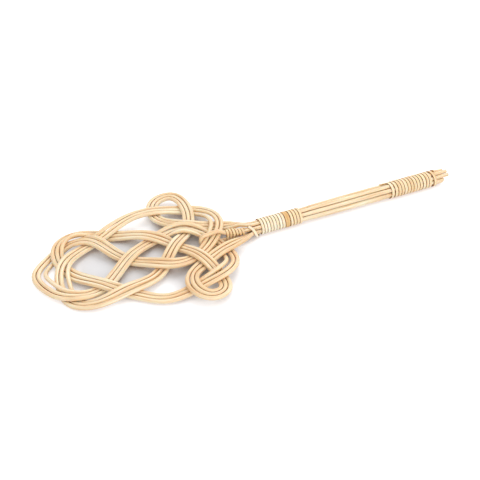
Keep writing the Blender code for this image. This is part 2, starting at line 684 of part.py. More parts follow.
def strand(name, points, outward, width, thickness, collection, finish):
    """A flat strand of split cane along the points, its back turned outward: a loft of its section."""
    run = np.gradient(points, axis=0)
    run /= np.linalg.norm(run, axis=1)[:, None]
    outward = outward - (outward * run).sum(axis=1)[:, None] * run
    outward /= np.linalg.norm(outward, axis=1)[:, None]
    side = np.cross(run, outward)
    half, thick = width / 2, thickness / 2
    section = [(half, 0), (half * 0.6, thick), (-half * 0.6, thick)]
    section += [(-s, -o) for s, o in section]
    mesh = bmesh.new()
    rings = []
    for place, across, out in zip(points, side, outward):
        rings.append([mesh.verts.new(place + across * s + out * o) for s, o in section])
    for first, second in zip(rings, rings[1:]):
        for i in range(len(section)):
            j = (i + 1) % len(section)
            mesh.faces.new((first[i], first[j], second[j], second[i]))
    mesh.faces.new(rings[0][::-1])
    mesh.faces.new(rings[-1])
    bmesh.ops.recalc_face_normals(mesh, faces=mesh.faces)
    data = bpy.data.meshes.new(name)
    mesh.to_mesh(data)
    mesh.free()
    data.materials.append(finish)
    obj = bpy.data.objects.new(name, data)
    collection.objects.link(obj)
    return obj


def make_ribbon(collection, finish):
    """The three canes that make the whole plait. Returns their nodes in the head."""
    woven, length, plans, held = plait_plan()
    heads = solve_heights(plans, held, woven, length)
    names = {-1: "knot_cane_left", 0: "knot_cane_middle", 1: "knot_cane_right"}
    for cane, head in zip(RIBBON_CANES, heads):
        tube(names[cane], ribbon_path(cane, head), collection, finish)
    return heads


def print_gap(name, points, width):
    """Prints the least gap of a winding to itself, measured between its points."""
    least = math.inf
    for i in range(len(points) - POINTS_PER_TURN // 2):
        others = points[i + POINTS_PER_TURN // 2 :]
        least = min(least, float(np.linalg.norm(others - points[i], axis=1).min()))
    print(f"{name}: least gap to itself {(least - width) / MM:.2f} mm")


def make_core(collection, finish):
    """The rod inside the ring of canes, which the bindings pull tight on."""
    places = [(x, axis_y(x), HANDLE_HEIGHT) for x in CORE_SPAN]
    middle = Vector(places[0]).lerp(Vector(places[1]), 0.5)
    way = Vector(places[1]) - Vector(places[0])
    bpy.ops.mesh.primitive_cylinder_add(
        vertices=20, radius=CORE_DIAMETER / 2, depth=way.length, location=middle,
        rotation=way.to_track_quat("Z", "Y").to_euler(),
    )
    obj = bpy.context.object
    obj.name = "handle_core"
    obj.data.materials.append(finish)
    for owner in list(obj.users_collection):
        owner.objects.unlink(obj)
    collection.objects.link(obj)


def make_bindings(heights, collection, cutters, pale, warm, brown):
    """The wound strands. Each that goes round more than once prints its least gap to itself."""
    thin, thick = STRAND_THICKNESS, GRIP_THICKNESS
    splice_width = SPLICE_WIDTH - 2 * CANE_GAP
    strand("binding_splice", *splice_turn(), splice_width, thin, collection, brown)
    wound = (
        ("tie_binding", tie_turns(*heights), TIE_STRAND_WIDTH, thin, warm),
        ("neck_binding_front", neck_front(), NECK_STRAND_WIDTH, thin, pale),
        ("neck_binding_rear", neck_rear(), REAR_STRAND_WIDTH, thin, warm),
        ("grip_binding", grip_turns(), GRIP_STRAND_WIDTH, thick, warm),
    )
    for name, (points, outward), width, thickness, finish in wound:
        obj = strand(name, points, outward, width, thickness, collection, finish)
        print_gap(name, points, width)
    cut_flat(obj, cutters)


def cut_flat(obj, cutters):
    """Cuts the underside of the grip binding flat where the beater rests on it."""
    middle = GRIP_START + GRIP_LENGTH / 2
    bpy.ops.mesh.primitive_cube_add(size=1)
    cutter = bpy.context.object
    cutter.name = "grip_flat_cutter"
    cutter.scale = (2 * GRIP_LENGTH, 4 * GRIP_RADIUS, GRIP_RADIUS)
    cutter.location = (middle, axis_y(middle), -GRIP_RADIUS / 2)
    for owner in list(cutter.users_collection):
        owner.objects.unlink(cutter)
    cutters.objects.link(cutter)
    cutter.hide_render = True
    cutter.display_type = "WIRE"
    cut = obj.modifiers.new("rest_flat", "BOOLEAN")
    cut.operation = "DIFFERENCE"
    cut.solver = "EXACT"
    cut.object = cutter


def centre_on_origin(collection, cutters):
    """Moves everything so that the origin is under the middle of the beater."""
    bpy.context.view_layer.update()
    places = []
    for obj in collection.objects:
        evaluated = obj.evaluated_get(bpy.context.evaluated_depsgraph_get())
        mesh = bpy.data.meshes.new_from_object(evaluated)
        places += [tuple(vertex.co) for vertex in mesh.vertices]
        bpy.data.meshes.remove(mesh)
    middle = (np.min(places, axis=0) + np.max(places, axis=0)) / 2
    for obj in (*collection.objects, *cutters.objects):
        obj.location.x -= middle[0]
        obj.location.y -= middle[1]


def main():
    clear_scene()
    collection = bpy.data.collections.new(NAME)
    cutters = bpy.data.collections.new("cutters")
    for made in (collection, cutters):
        bpy.context.scene.collection.children.link(made)
    cane = material("rattan cane", (0.80, 0.58, 0.33), 0.45)
    pale = material("pale split cane", (0.86, 0.70, 0.45), 0.42)
    warm = material("split cane", (0.82, 0.60, 0.36), 0.42)
    brown = material("brown split cane", (0.60, 0.38, 0.17), 0.5)
    heads = make_ribbon(collection, cane)
    make_core(collection, cane)
    heights = tie_heights(heads)
    tube("tie_cane", tie_path(*heights), collection, cane)
    make_bindings(heights, collection, cutters, pale, warm, brown)
    centre_on_origin(collection, cutters)


main()
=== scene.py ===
"""Dresses the plaited rattan carpet beater: smooth canes, split cane bindings, and a pale studio.

The canes follow the same run as the solids: the route, the weave and the sums of the heights are those
of the part's source, repeated here. Lengths are worked out from the tip of the head, and everything is
moved into the part's own frame at the end.
"""

import math

import bmesh
import bpy
import numpy as np
from mathutils import Matrix, Vector
from mathutils.kdtree import KDTree


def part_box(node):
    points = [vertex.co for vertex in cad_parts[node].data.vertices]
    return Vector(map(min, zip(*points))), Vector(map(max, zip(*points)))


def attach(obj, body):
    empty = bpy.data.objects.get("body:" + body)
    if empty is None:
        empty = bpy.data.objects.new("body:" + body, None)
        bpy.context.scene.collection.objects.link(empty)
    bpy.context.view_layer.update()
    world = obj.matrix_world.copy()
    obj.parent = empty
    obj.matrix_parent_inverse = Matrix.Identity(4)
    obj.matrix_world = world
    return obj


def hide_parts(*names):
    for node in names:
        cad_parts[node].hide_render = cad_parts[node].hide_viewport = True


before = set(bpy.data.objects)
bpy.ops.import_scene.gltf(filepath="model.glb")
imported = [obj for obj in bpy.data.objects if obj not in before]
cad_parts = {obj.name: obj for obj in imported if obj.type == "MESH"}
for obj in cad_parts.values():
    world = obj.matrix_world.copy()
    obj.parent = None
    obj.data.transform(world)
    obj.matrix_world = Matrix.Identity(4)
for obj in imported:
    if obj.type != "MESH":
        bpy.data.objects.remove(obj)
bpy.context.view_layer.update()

MM = 0.001

# Overall sizes
TOTAL_LENGTH = 600 * MM
HEAD_LENGTH = 300 * MM  # from the tip into the neck
HEAD_HALF_WIDTH = 118 * MM
HANDLE_LEAN = math.radians(2.8)  # the handle stands this far off the head's long axis
LEAN_CROSSING = 405 * MM  # from the tip to where the handle's axis crosses the head's

# Canes
CANE_DIAMETER = 5.2 * MM
NECK_CANE_DIAMETER = 4.85 * MM  # the canes are pared thinner where the neck is bound
CANE_GAP = 0.35 * MM
NECK_GAP = 0.5 * MM
HANDLE_GAP = 0.65 * MM  # the canes stand a little looser in the handle
TIE_GAP = 0.7 * MM
RIBBON_CANES = (-1, 0, 1)  # place across the ribbon, counted to the right of its run
RING_CANES = 8  # canes in a ring round the core of the handle
TIE_RING_ANGLE = math.radians(145)  # place of the tie cane's upper leg in that ring
CORE_DIAMETER = 8.1 * MM
CORE_SPAN = (304 * MM, 586 * MM)
# How far short of the end the canes are sawn off, by leg and cane
END_CUTS = {
    (0, -1): 0.5 * MM, (0, 0): 3.5 * MM, (0, 1): 6 * MM,
    (1, 1): 7.5 * MM, (1, 0): 5.5 * MM, (1, -1): 2 * MM,
}

# Tie cane: bent double round the crossing next to the neck
TIE_CROSSING_SHARE = 0.753  # of the head length, from the tip
TIE_REACH = 13.5 * MM
TIE_FLAT = 13.5 * MM  # the legs stay this far beyond the crossing as high and as low as they can
TIE_ASIDE = 2.9 * MM  # and this far aside of the handle's axis
TIE_SQUEEZE = 6.0 * MM  # half the distance between the legs where their binding starts
TIE_BEND_SHARE = 0.72  # below 1 the bend is squarer than a half circle

# Bindings: strands of split cane, flat outside
STRAND_THICKNESS = 1.5 * MM
GRIP_THICKNESS = 1.8 * MM
BINDING_GAP = 0.3 * MM
POINTS_PER_TURN = 56
TIE_BINDING_SHARES = (0.817, 0.915)  # of the head length, from the tip
TIE_STRAND_WIDTH = 3.5 * MM
TIE_PITCH = 4.2 * MM
NECK_START_SHARE = 0.97  # of the head length, from the tip
FRONT_TURNS = 8
REAR_TURNS = 5
NECK_STRAND_WIDTH = 3.9 * MM
NECK_PITCH = 4.4 * MM
REAR_STRAND_WIDTH = 4.0 * MM
REAR_PITCH = 4.6 * MM
# The strand's way from the tie's legs over the near ribbon to its first turn round the neck: place past
# the start of the turns in their pitches, angle round the axis in degrees, distance from it in radii of
# the ring of canes
STRAP_SHARES = (
    (-2.95455, 108, 1.00141), (-2.59091, 125, 1.05864), (-2.13636, 145, 1.25892),
    (-1.72727, 168, 1.84546), (-1.04545, 198, 1.87408), (-0.40909, 226, 1.70240),
    (0.09091, 250, 1.57365), (0.50000, 270, 1.50212),
)
SPLICE_WIDTH = 7.6 * MM
SPLICE_TURN = 0.88  # of a full turn
GRIP_TURNS = 15
GRIP_STRAND_WIDTH = 4.7 * MM
GRIP_PITCH = 5.3 * MM
# Where the turns of the grip stand apart: after this many turns, by this much more
GRIP_SLACKS = ((1, 1.2 * MM), (10, 0.6 * MM), (13, 4.0 * MM))
TAIL_LENGTH = 9.5 * MM  # the strand starts along the handle, bends and then goes round
TAIL_BEND = 4.5 * MM
TAIL_ANGLE = math.radians(66)
GRIP_TO_END = 17.5 * MM
FLAT_CUT = 0.5 * MM  # depth of the flat under the grip binding

# Run of the ribbon's middle cane through the plait, in shares of the head length from the tip and of
# the half width to the far side. It starts and ends at the neck.
ROUTE_SHARES = (
    # out of the handle on the far side, and round the far ear
    (0.975, -0.013), (0.905, 0.078), (0.821, 0.148), (0.670, 0.302), (0.590, 0.495), (0.571, 0.724),
    (0.607, 0.881), (0.677, 0.885), (0.712, 0.721), (0.711, 0.424),
    # down across the head to the near side of the tip
    (0.657, 0.149), (0.559, -0.131), (0.474, -0.372), (0.337, -0.506), (0.220, -0.544),
    # round inside the tip, and back along the far side
    (0.139, -0.432), (0.112, -0.199), (0.131, 0.082), (0.207, 0.301), (0.342, 0.482),
    (0.471, 0.637), (0.617, 0.657),
    # the big loop next to the neck
    (0.734, 0.585), (0.804, 0.402), (0.813, 0.160), (0.759, -0.071),
    # along the middle to the tip
    (0.656, -0.253), (0.554, -0.295), (0.456, -0.148), (0.334, 0.175), (0.244, 0.436),
    # the tip loop
    (0.170, 0.472), (0.084, 0.310), (0.030, 0.103), (0.051, -0.142), (0.113, -0.340),
    (0.202, -0.384), (0.301, -0.248),
    # back along the middle, and over the arch to the neck
    (0.438, 0.067), (0.549, 0.230), (0.649, 0.222), (0.735, 0.062),
    # the second big loop, on the near side
    (0.794, -0.206), (0.798, -0.452), (0.736, -0.622), (0.615, -0.690),
    # along the near side, and round inside the tip
    (0.487, -0.716), (0.383, -0.561), (0.256, -0.301), (0.155, 0.000), (0.119, 0.256),
    (0.144, 0.485), (0.215, 0.581),
    # down across the head to the near ear
    (0.323, 0.514), (0.473, 0.300), (0.598, 0.041), (0.672, -0.289), (0.718, -0.636),
    (0.707, -0.829), (0.650, -0.883), (0.601, -0.758), (0.608, -0.563),
    # back into the handle on the near side
    (0.681, -0.383), (0.817, -0.236), (0.905, -0.165), (0.975, -0.080),
)

# What the ribbon does at each crossing that it meets along its run: over or under
WEAVE = "UOUOUUOUOUOUOOUOOUOUOUOUOUOUUOUUOUOUOUOOUOUO"

# Stretches of the ribbon that touch side by side without crossing: both places, counted in points of
# the route, and 1 where the first one is over
TOUCHES = ((2.5, 40.2, -1),)

# Where one cane of the ribbon strays from its neighbours: the place along the run and the reach of the
# stray, both counted in points of the route, the cane and how far it strays
STRAYS = (
    (12.5, 1.8, -1, 1.5 * MM),
    (16.0, 1.8, 1, 3.0 * MM),
    (23.6, 2.6, 1, 3.0 * MM),
    (33.4, 2.8, -1, 3.2 * MM),
    (43.4, 2.6, 1, 3.0 * MM),
    (60.4, 1.4, -1, 0.9 * MM),
)

# Fineness of the sums and of the solids
SAMPLE_STEP = 1.5 * MM
NODE_STEP = 12.5 * MM
NODE_TURN = math.radians(22)
STIFF_REACH = 26 * MM  # a bent cane comes back to the middle of the plait over about this length
# The flat ribbons turn on edge and draw into the round handle, in shares of the head length
TWIST_START_SHARES = (0.853, 0.815)  # of the far and of the near ribbon
TILTED_SHARE = 0.91
DRAW_SHARES = (0.89, 0.975)
# Heights of the middle of the far and of the near ribbon where the twist starts and where it ends
TWIST_HEIGHTS = ((10 * MM, 14 * MM), (12.5 * MM, 10.5 * MM))
TWIST_NODE_STEP = 5 * MM
TWIST_SPREAD = 1.09  # the canes stand a little further apart where the ribbons run aslant
ROUNDS = 8
SWEEPS = 120
BESIDE = 5  # stretches of one ribbon this few nodes apart lie side by side

STRAP_STEP = 2 * math.pi / POINTS_PER_TURN
STEP_ANGLE = 2 * math.pi / RING_CANES
LAYER = CANE_DIAMETER + CANE_GAP
TWIST_STARTS = [share * HEAD_LENGTH for share in TWIST_START_SHARES]
TWIST_START = min(TWIST_STARTS)
TWIST_END = DRAW_SHARES[1] * HEAD_LENGTH
TIE_CROSSING = TIE_CROSSING_SHARE * HEAD_LENGTH
TIE_BINDING_START = TIE_BINDING_SHARES[0] * HEAD_LENGTH
TIE_BINDING_END = TIE_BINDING_SHARES[1] * HEAD_LENGTH
TIE_TURNS = round((TIE_BINDING_END - TIE_BINDING_START) / TIE_PITCH)
NECK_RADIUS = (NECK_CANE_DIAMETER + NECK_GAP) / (2 * math.sin(STEP_ANGLE / 2))
HANDLE_RADIUS = (CANE_DIAMETER + HANDLE_GAP) / (2 * math.sin(STEP_ANGLE / 2))
GRIP_RADIUS = HANDLE_RADIUS + CANE_DIAMETER / 2 + BINDING_GAP + GRIP_THICKNESS
HANDLE_HEIGHT = GRIP_RADIUS - FLAT_CUT
TIP_HEIGHT = (LAYER + CANE_DIAMETER) / 2
NECK_START = NECK_START_SHARE * HEAD_LENGTH
STRAP_UNITS = (NECK_PITCH, math.radians(1), NECK_RADIUS)
SPLICE_PLACE = NECK_START + FRONT_TURNS * NECK_PITCH + SPLICE_WIDTH / 2
NECK_END = SPLICE_PLACE + SPLICE_WIDTH / 2 + REAR_TURNS * REAR_PITCH
GRIP_LENGTH = (GRIP_TURNS - 1) * GRIP_PITCH + sum(slack for _, slack in GRIP_SLACKS)
GRIP_START = TOTAL_LENGTH - GRIP_TO_END - GRIP_LENGTH - GRIP_STRAND_WIDTH / 2
HANDLE_START = NECK_END + 4 * CANE_DIAMETER  # from here the canes are at their full size again


def smooth_step(value, start, end):
    """0 before start and 1 after end, with a smooth change between."""
    share = np.clip((value - start) / (end - start), 0, 1)
    return share * share * (3 - 2 * share)


# Handle

def axis_y(x):
    """Sideways place of the handle's axis, which leans a little off the head's long axis."""
    return math.tan(HANDLE_LEAN) * (x - LEAN_CROSSING)


def plait_height(x):
    """Height of the middle of the plait: the head sags from the tied neck down to its tip."""
    rise = np.clip(x / TIE_CROSSING, 0, 1)
    return TIP_HEIGHT + (HANDLE_HEIGHT - TIP_HEIGHT) * rise


def handle_share(x):
    """0 where the neck is bound, 1 where the handle has its full thickness."""
    return float(smooth_step(x, NECK_END, HANDLE_START))


def ring_radius(x):
    return NECK_RADIUS + (HANDLE_RADIUS - NECK_RADIUS) * handle_share(x)


def cane_diameter(x):
    """Thickness of a cane on its way through the neck into the handle."""
    pared = float(smooth_step(x, TWIST_START, TWIST_END)) * (1 - handle_share(x))
    return CANE_DIAMETER + (NECK_CANE_DIAMETER - CANE_DIAMETER) * pared


def ring_angle(leg, cane):
    """Place of a cane in the handle's ring. Leg 0 comes in on the far side, leg 1 on the near side."""
    if leg == 0:
        return TIE_RING_ANGLE - STEP_ANGLE * (2 + cane)
    return TIE_RING_ANGLE + STEP_ANGLE * (2 - cane)


def ring_place(x, angle):
    radius = ring_radius(x)
    return x, axis_y(x) + radius * math.cos(angle), HANDLE_HEIGHT + radius * math.sin(angle)


# Run of the canes, seen from above

def natural_spline(points, step):
    """Samples at an even step along the natural cubic spline through the points, and their place
    counted in points."""
    knots = np.concatenate([[0], np.cumsum(np.linalg.norm(np.diff(points, axis=0), axis=1))])
    width = np.diff(knots)
    count = len(points)
    matrix = np.eye(count)
    right = np.zeros_like(points)
    for i in range(1, count - 1):
        matrix[i, i - 1 : i + 2] = width[i - 1], 2 * (width[i - 1] + width[i]), width[i]
        slopes = np.diff(points[i - 1 : i + 2], axis=0) / width[i - 1 : i + 1, None]
        right[i] = 6 * (slopes[1] - slopes[0])
    bend = np.linalg.solve(matrix, right)

    def at(u):
        i = np.clip(np.searchsorted(knots, u, side="right") - 1, 0, count - 2)
        a = ((knots[i + 1] - u) / width[i])[:, None]
        b = 1 - a
        curve = (a**3 - a) * bend[i] + (b**3 - b) * bend[i + 1]
        return a * points[i] + b * points[i + 1] + curve * (width[i] ** 2)[:, None] / 6

    fine = np.linspace(0, knots[-1], 40 * count)
    length = np.concatenate([[0], np.cumsum(np.linalg.norm(np.diff(at(fine), axis=0), axis=1))])
    places = np.linspace(0, length[-1], round(length[-1] / step) + 1)
    u = np.interp(places, length, fine)
    return at(u), np.interp(u, knots, np.arange(count))


def ribbon_nodes():
    """Nodes of the middle cane seen from above, closer together where it bends: their places, the way
    to the right, the place counted in points of the route, and the length along the run."""
    shares = np.array(ROUTE_SHARES)
    points, place = natural_spline(shares * (HEAD_LENGTH, HEAD_HALF_WIDTH), SAMPLE_STEP)
    run = np.gradient(points, axis=0)
    run /= np.linalg.norm(run, axis=1)[:, None]
    sine = run[:-1, 0] * run[1:, 1] - run[:-1, 1] * run[1:, 0]
    turn = np.abs(np.arcsin(np.clip(sine, -1, 1)))
    step = np.where(points[1:, 0] > TWIST_START, TWIST_NODE_STEP, NODE_STEP)
    used = np.concatenate([[0], np.cumsum(SAMPLE_STEP / step + turn / NODE_TURN)])
    even = np.linspace(0, used[-1], round(used[-1]) + 1)
    kept = np.round(np.interp(even, used, np.arange(len(points)))).astype(int)
    right = np.stack([run[:, 1], -run[:, 0]], axis=1)
    return points[kept], right[kept], place[kept], kept * SAMPLE_STEP


def stray(place, cane):
    """How far this cane stands off its usual place in the ribbon."""
    total = np.zeros(len(place))
    for middle, reach, strayed, amount in STRAYS:
        if strayed == cane:
            share = np.clip(np.abs(place - middle) / reach, 0, 1)
            total += amount * (1 + np.cos(math.pi * share)) / 2
    return total * cane


def twisted(leg, cane, x, y, aside):
    """Place of a cane where the flat ribbon tilts, its near side up, and draws into the ring. It is
    given the place of the ribbon's middle and how far aside of it the cane lies."""
    start = TWIST_STARTS[leg]
    tilted = float(smooth_step(x, start, TILTED_SHARE * HEAD_LENGTH))
    tilt = tilted * (math.pi - TIE_RING_ANGLE)
    drawn = float(smooth_step(x, DRAW_SHARES[0] * HEAD_LENGTH, TWIST_END))
    height = float(np.interp(x, (start, TWIST_END), TWIST_HEIGHTS[leg]))
    aside *= 1 + (TWIST_SPREAD - 1) * tilted
    flat = np.array([y + aside * math.cos(tilt), height - aside * math.sin(tilt)])
    return flat + drawn * (ring_place(x, ring_angle(leg, cane))[1:] - flat)


def plait_plan():
    """The crossings, the length along the run at each node, the three canes seen from above, and
    their heights where the twist into the handle sets them."""
    nodes, right, place, length = ribbon_nodes()
    plans, held = [], []
    for cane in RIBBON_CANES:
        plan = nodes + right * (cane * LAYER + stray(place, cane))[:, None]
        height = np.full(len(nodes), np.nan)
        for i, (x, y) in enumerate(nodes):
            leg = 0 if place[i] < len(ROUTE_SHARES) / 2 else 1
            if x > TWIST_STARTS[leg]:
                plan[i, 1], height[i] = twisted(leg, cane, plan[i, 0], y, plan[i, 1] - y)
        plans.append(plan)
        held.append(height)
    return woven_crossings(nodes, place, length), length, np.array(plans), np.array(held)


# Heights of the canes

def crossings_of(first, second):
    """Where two runs cross seen from above: node and share of the way to the next one, for both."""
    step, other = np.diff(first, axis=0), np.diff(second, axis=0)
    cross = step[:, None, 0] * other[None, :, 1] - step[:, None, 1] * other[None, :, 0]
    cross = np.where(cross == 0, 1, cross)
    gap = second[None, :-1] - first[:-1, None]
    t = (gap[..., 0] * other[None, :, 1] - gap[..., 1] * other[None, :, 0]) / cross
    u = (gap[..., 0] * step[:, None, 1] - gap[..., 1] * step[:, None, 0]) / cross
    i, j = np.nonzero((t >= 0) & (t < 1) & (u >= 0) & (u < 1))
    later = j > i + 2
    i, j = i[later], j[later]
    return i, t[i, j], j, u[i, j]


def woven_crossings(nodes, place, length):
    """Each crossing of the ribbon with itself: its two places along the run, and 1 where the ribbon
    is over at the first of them."""
    i, t, j, u = crossings_of(nodes, nodes)
    count = np.arange(len(length))
    first, second = np.interp(i + t, count, length), np.interp(j + u, count, length)
    passes = sorted((place, n) for places in (first, second) for n, place in enumerate(places))
    if len(passes) != len(WEAVE):
        raise ValueError(f"the run meets {len(passes)} crossings and the weave has {len(WEAVE)}")
    over = {}
    for (_, n), letter in zip(passes, WEAVE):
        over.setdefault(n, []).append(1 if letter == "O" else -1)
    for n, (one, two) in over.items():
        if one == two:
            raise ValueError(f"the ribbon is twice on one side at crossing {n}")
    touches = [(*np.interp(pair, place, length), side) for *pair, side in TOUCHES]
    return np.array([(first[n], second[n], over[n][0]) for n in range(len(first))] + touches)


def side_of(woven, first, second):
    """1 where the cane at the first place along the run passes over the one at the second place."""
    gap = np.abs(woven[:, :2] - (min(first, second), max(first, second))).sum(axis=1)
    return woven[int(gap.argmin()), 2] * (1 if first < second else -1)


def segment_gaps(start, step, other_start, other_step):
    """Nearest places of pairs of straight stretches, as shares of each, and the way between them."""
    away = start - other_start
    a, e, b = (step * step).sum(-1), (other_step * other_step).sum(-1), (step * other_step).sum(-1)
    c, f = (step * away).sum(-1), (other_step * away).sum(-1)
    s = np.clip((b * f - c * e) / np.maximum(a * e - b * b, a * e * 1e-9), 0, 1)
    t = np.clip((b * s + f) / e, 0, 1)
    s = np.clip((b * t - c) / a, 0, 1)
    return s, t, start + step * s[:, None] - other_start - other_step * t[:, None]


def spring_matrix(plan):
    """Stiffness of one cane against bending, and its pull to the middle of the plait."""
    count = len(plan)
    step = np.linalg.norm(np.diff(plan, axis=0), axis=1)
    bend = np.zeros((count - 2, count))
    for i in range(1, count - 1):
        before, after = step[i - 1], step[i]
        weight = math.sqrt((before + after) / 2) * 2 / (before + after)
        bend[i - 1, i - 1 : i + 2] = weight / before, -weight * (1 / before + 1 / after), weight / after
    own = np.zeros(count)
    own[:-1] += step / 2
    own[1:] += step / 2
    pull = own / STIFF_REACH**4
    return bend.T @ bend + np.diag(pull), pull * plait_height(plan[:, 0])


def rest_heights(plans, held):
    """Heights of all nodes before they are pushed apart, and how far a push on each moves the rest."""
    count = plans.shape[1]
    stiff = np.zeros((3 * count, 3 * count))
    load = np.zeros(3 * count)
    for n, plan in enumerate(plans):
        own = slice(n * count, (n + 1) * count)
        stiff[own, own], load[own] = spring_matrix(plan)
    held = held.reshape(-1)
    free = np.isnan(held)
    height = np.where(free, 0, held)
    moved = np.zeros_like(stiff)
    moved[np.ix_(free, free)] = np.linalg.inv(stiff[np.ix_(free, free)])
    height[free] = np.linalg.solve(stiff[np.ix_(free, free)], (load - stiff @ height)[free])
    return height, moved


def demand_row(count, first, share, second, other_share, side):
    """How the heights of four nodes set the height of one place above another."""
    row = np.zeros(count)
    row[first] += side * (1 - share)
    row[first + 1] += side * share
    row[second] -= side * (1 - other_share)
    row[second + 1] -= side * other_share
    return row


def push_apart(rest, moved, rows, bounds, push):
    """The least pushes that meet every demand, by going round the demands again and again."""
    rows = np.array(rows)
    reach = rows @ moved
    soft = reach @ rows.T
    lack = np.array(bounds) - rows @ rest
    push = np.concatenate([push, np.zeros(len(bounds) - len(push))])
    own = np.maximum(soft.diagonal(), soft.diagonal().max() * 1e-12)
    for _ in range(SWEEPS):
        for n in range(len(push)):
            push[n] = max(0.0, push[n] + (lack[n] - soft[n] @ push) / own[n])
    return rest + push @ reach, push


def near_stretches(flat, count, length, woven):
    """Pairs of stretches that are near each other seen from above, and which of them is over."""
    number = np.concatenate([np.arange(count - 1) + n * count for n in range(len(RIBBON_CANES))])
    middle = (flat[number] + flat[number + 1]) / 2
    half = np.linalg.norm(flat[number + 1] - flat[number], axis=1) / 2
    apart = np.linalg.norm(middle[:, None] - middle[None], axis=2) - half[:, None] - half[None]
    first, second = np.nonzero(apart < LAYER * 1.2)
    along = number % count
    kept = (first < second) & (np.abs(along[first] - along[second]) >= BESIDE)
    first, second = first[kept], second[kept]
    place = (length[along] + length[along + 1]) / 2
    side = np.array([side_of(woven, place[i], place[j]) for i, j in zip(first, second)])
    return number[first], number[second], side


def solve_heights(plans, held, woven, length):
    """Heights of the canes. Each is a bent spring that rests in the middle of the plait, and where two
    lie on each other the upper one is pushed up and the lower one down, until all are clear."""
    count = plans.shape[1]
    total = 3 * count
    rest, moved = rest_heights(plans, held)
    rows, bounds, floor = [], [], set()
    number = np.arange(count)
    for a in range(3):
        for b in range(3):
            for i, t, j, u in zip(*crossings_of(plans[a], plans[b])):
                if not (np.isnan(held[a, i]) or np.isnan(held[b, j])):
                    continue
                places = np.interp((i + t, j + u), number, length)
                rows.append(demand_row(total, a * count + i, t, b * count + j, u, side_of(woven, *places)))
                bounds.append(LAYER)
    flat = plans.reshape(-1, 2)
    first, second, side = near_stretches(flat, count, length, woven)
    push = np.zeros(0)
    for _ in range(ROUNDS):
        height, push = push_apart(rest, moved, rows, bounds, push)
        solid = np.column_stack([flat, height])
        s, t, way = segment_gaps(
            solid[first], solid[first + 1] - solid[first], solid[second], solid[second + 1] - solid[second]
        )
        gap = np.linalg.norm(way, axis=1)
        for n in np.nonzero(gap < LAYER * 0.998)[0]:
            upright = way[n, 2] * side[n] / gap[n]
            if upright < 0.3:
                continue
            level = (way[n, 0] ** 2 + way[n, 1] ** 2) / gap[n]
            rows.append(demand_row(total, first[n], s[n], second[n], t[n], side[n]))
            bounds.append((LAYER - level) / upright)
        for n in np.nonzero(height < CANE_DIAMETER / 2)[0]:
            if n not in floor:
                floor.add(n)
                rows.append(np.eye(1, total, n)[0])
                bounds.append(CANE_DIAMETER / 2)
    return solid.reshape(3, count, 3)


# Whole canes

def handle_leg(leg, cane):
    """The stretch of a cane in the handle, from the neck to its end."""
    angle = ring_angle(leg, cane)
    end = TOTAL_LENGTH - END_CUTS[leg, cane]
    third = (HANDLE_START - NECK_END) / 3
    stops = (HEAD_LENGTH, NECK_END, NECK_END + third, HANDLE_START - third, HANDLE_START, end)
    return [ring_place(x, angle) for x in stops]


def ribbon_path(cane, head):
    """The nodes of one knot cane, from its end in the handle through the plait and back."""
    return handle_leg(0, cane)[::-1] + [tuple(place) for place in head] + handle_leg(1, cane)


def tie_y(x):
    """Sideways place of the tie cane, up to its binding."""
    bound = smooth_step(x, TIE_CROSSING + TIE_FLAT, TIE_BINDING_START)
    return axis_y(x) + TIE_ASIDE * (1 - bound)


def tie_heights(heads):
    """Lowest height of the upper leg and greatest height of the lower leg that clear the crossing."""
    x = np.linspace(TIE_CROSSING - TIE_REACH + LAYER, TIE_CROSSING + TIE_FLAT, 12)
    line = np.column_stack([x, tie_y(x)])
    high, low = -math.inf, math.inf
    for head in heads:
        for place in line:
            start, step = head[:-1], np.diff(head, axis=0)
            share = ((place - start[:, :2]) * step[:, :2]).sum(axis=1) / (step[:, :2] ** 2).sum(axis=1)
            near = start + step * np.clip(share, 0, 1)[:, None]
            gap = np.linalg.norm(near[:, :2] - place, axis=1)
            for n in np.nonzero(gap < LAYER)[0]:
                rise = math.sqrt(LAYER**2 - gap[n] ** 2)
                high, low = max(high, near[n, 2] + rise), min(low, near[n, 2] - rise)
    return high, max(low, CANE_DIAMETER / 2)


def tie_pair(x, high, low):
    """The legs of the tie cane at x: height of their middle, half their distance and the angle at
    which the upper one stands. They turn from upright toward their places in the ring."""
    flat_end = TIE_CROSSING + TIE_FLAT
    start, end = TIE_BINDING_START, TIE_BINDING_END
    bound = float(smooth_step(x, flat_end, start))
    middle = (high + low) / 2 + (HANDLE_HEIGHT - (high + low) / 2) * bound
    half = (high - low) / 2 + (TIE_SQUEEZE - (high - low) / 2) * bound
    tight = (CANE_DIAMETER + CANE_GAP) / 2
    half += (tight - half) * float(np.clip((x - start) / (end - start), 0, 1))
    half += (ring_radius(x) - half) * float(smooth_step(x, end, TWIST_END))
    angle = math.pi / 2 + (TIE_RING_ANGLE - math.pi / 2) * float(smooth_step(x, start, end))
    return middle, half, angle


def tie_legs(x, high, low):
    """Places of the upper and the lower leg of the tie cane, from the bend to the handle."""
    middle, half, angle = tie_pair(x, high, low)
    y = float(tie_y(x))
    return [
        (x, y + side * half * math.cos(angle), middle + side * half * math.sin(angle))
        for side in (1, -1)
    ]


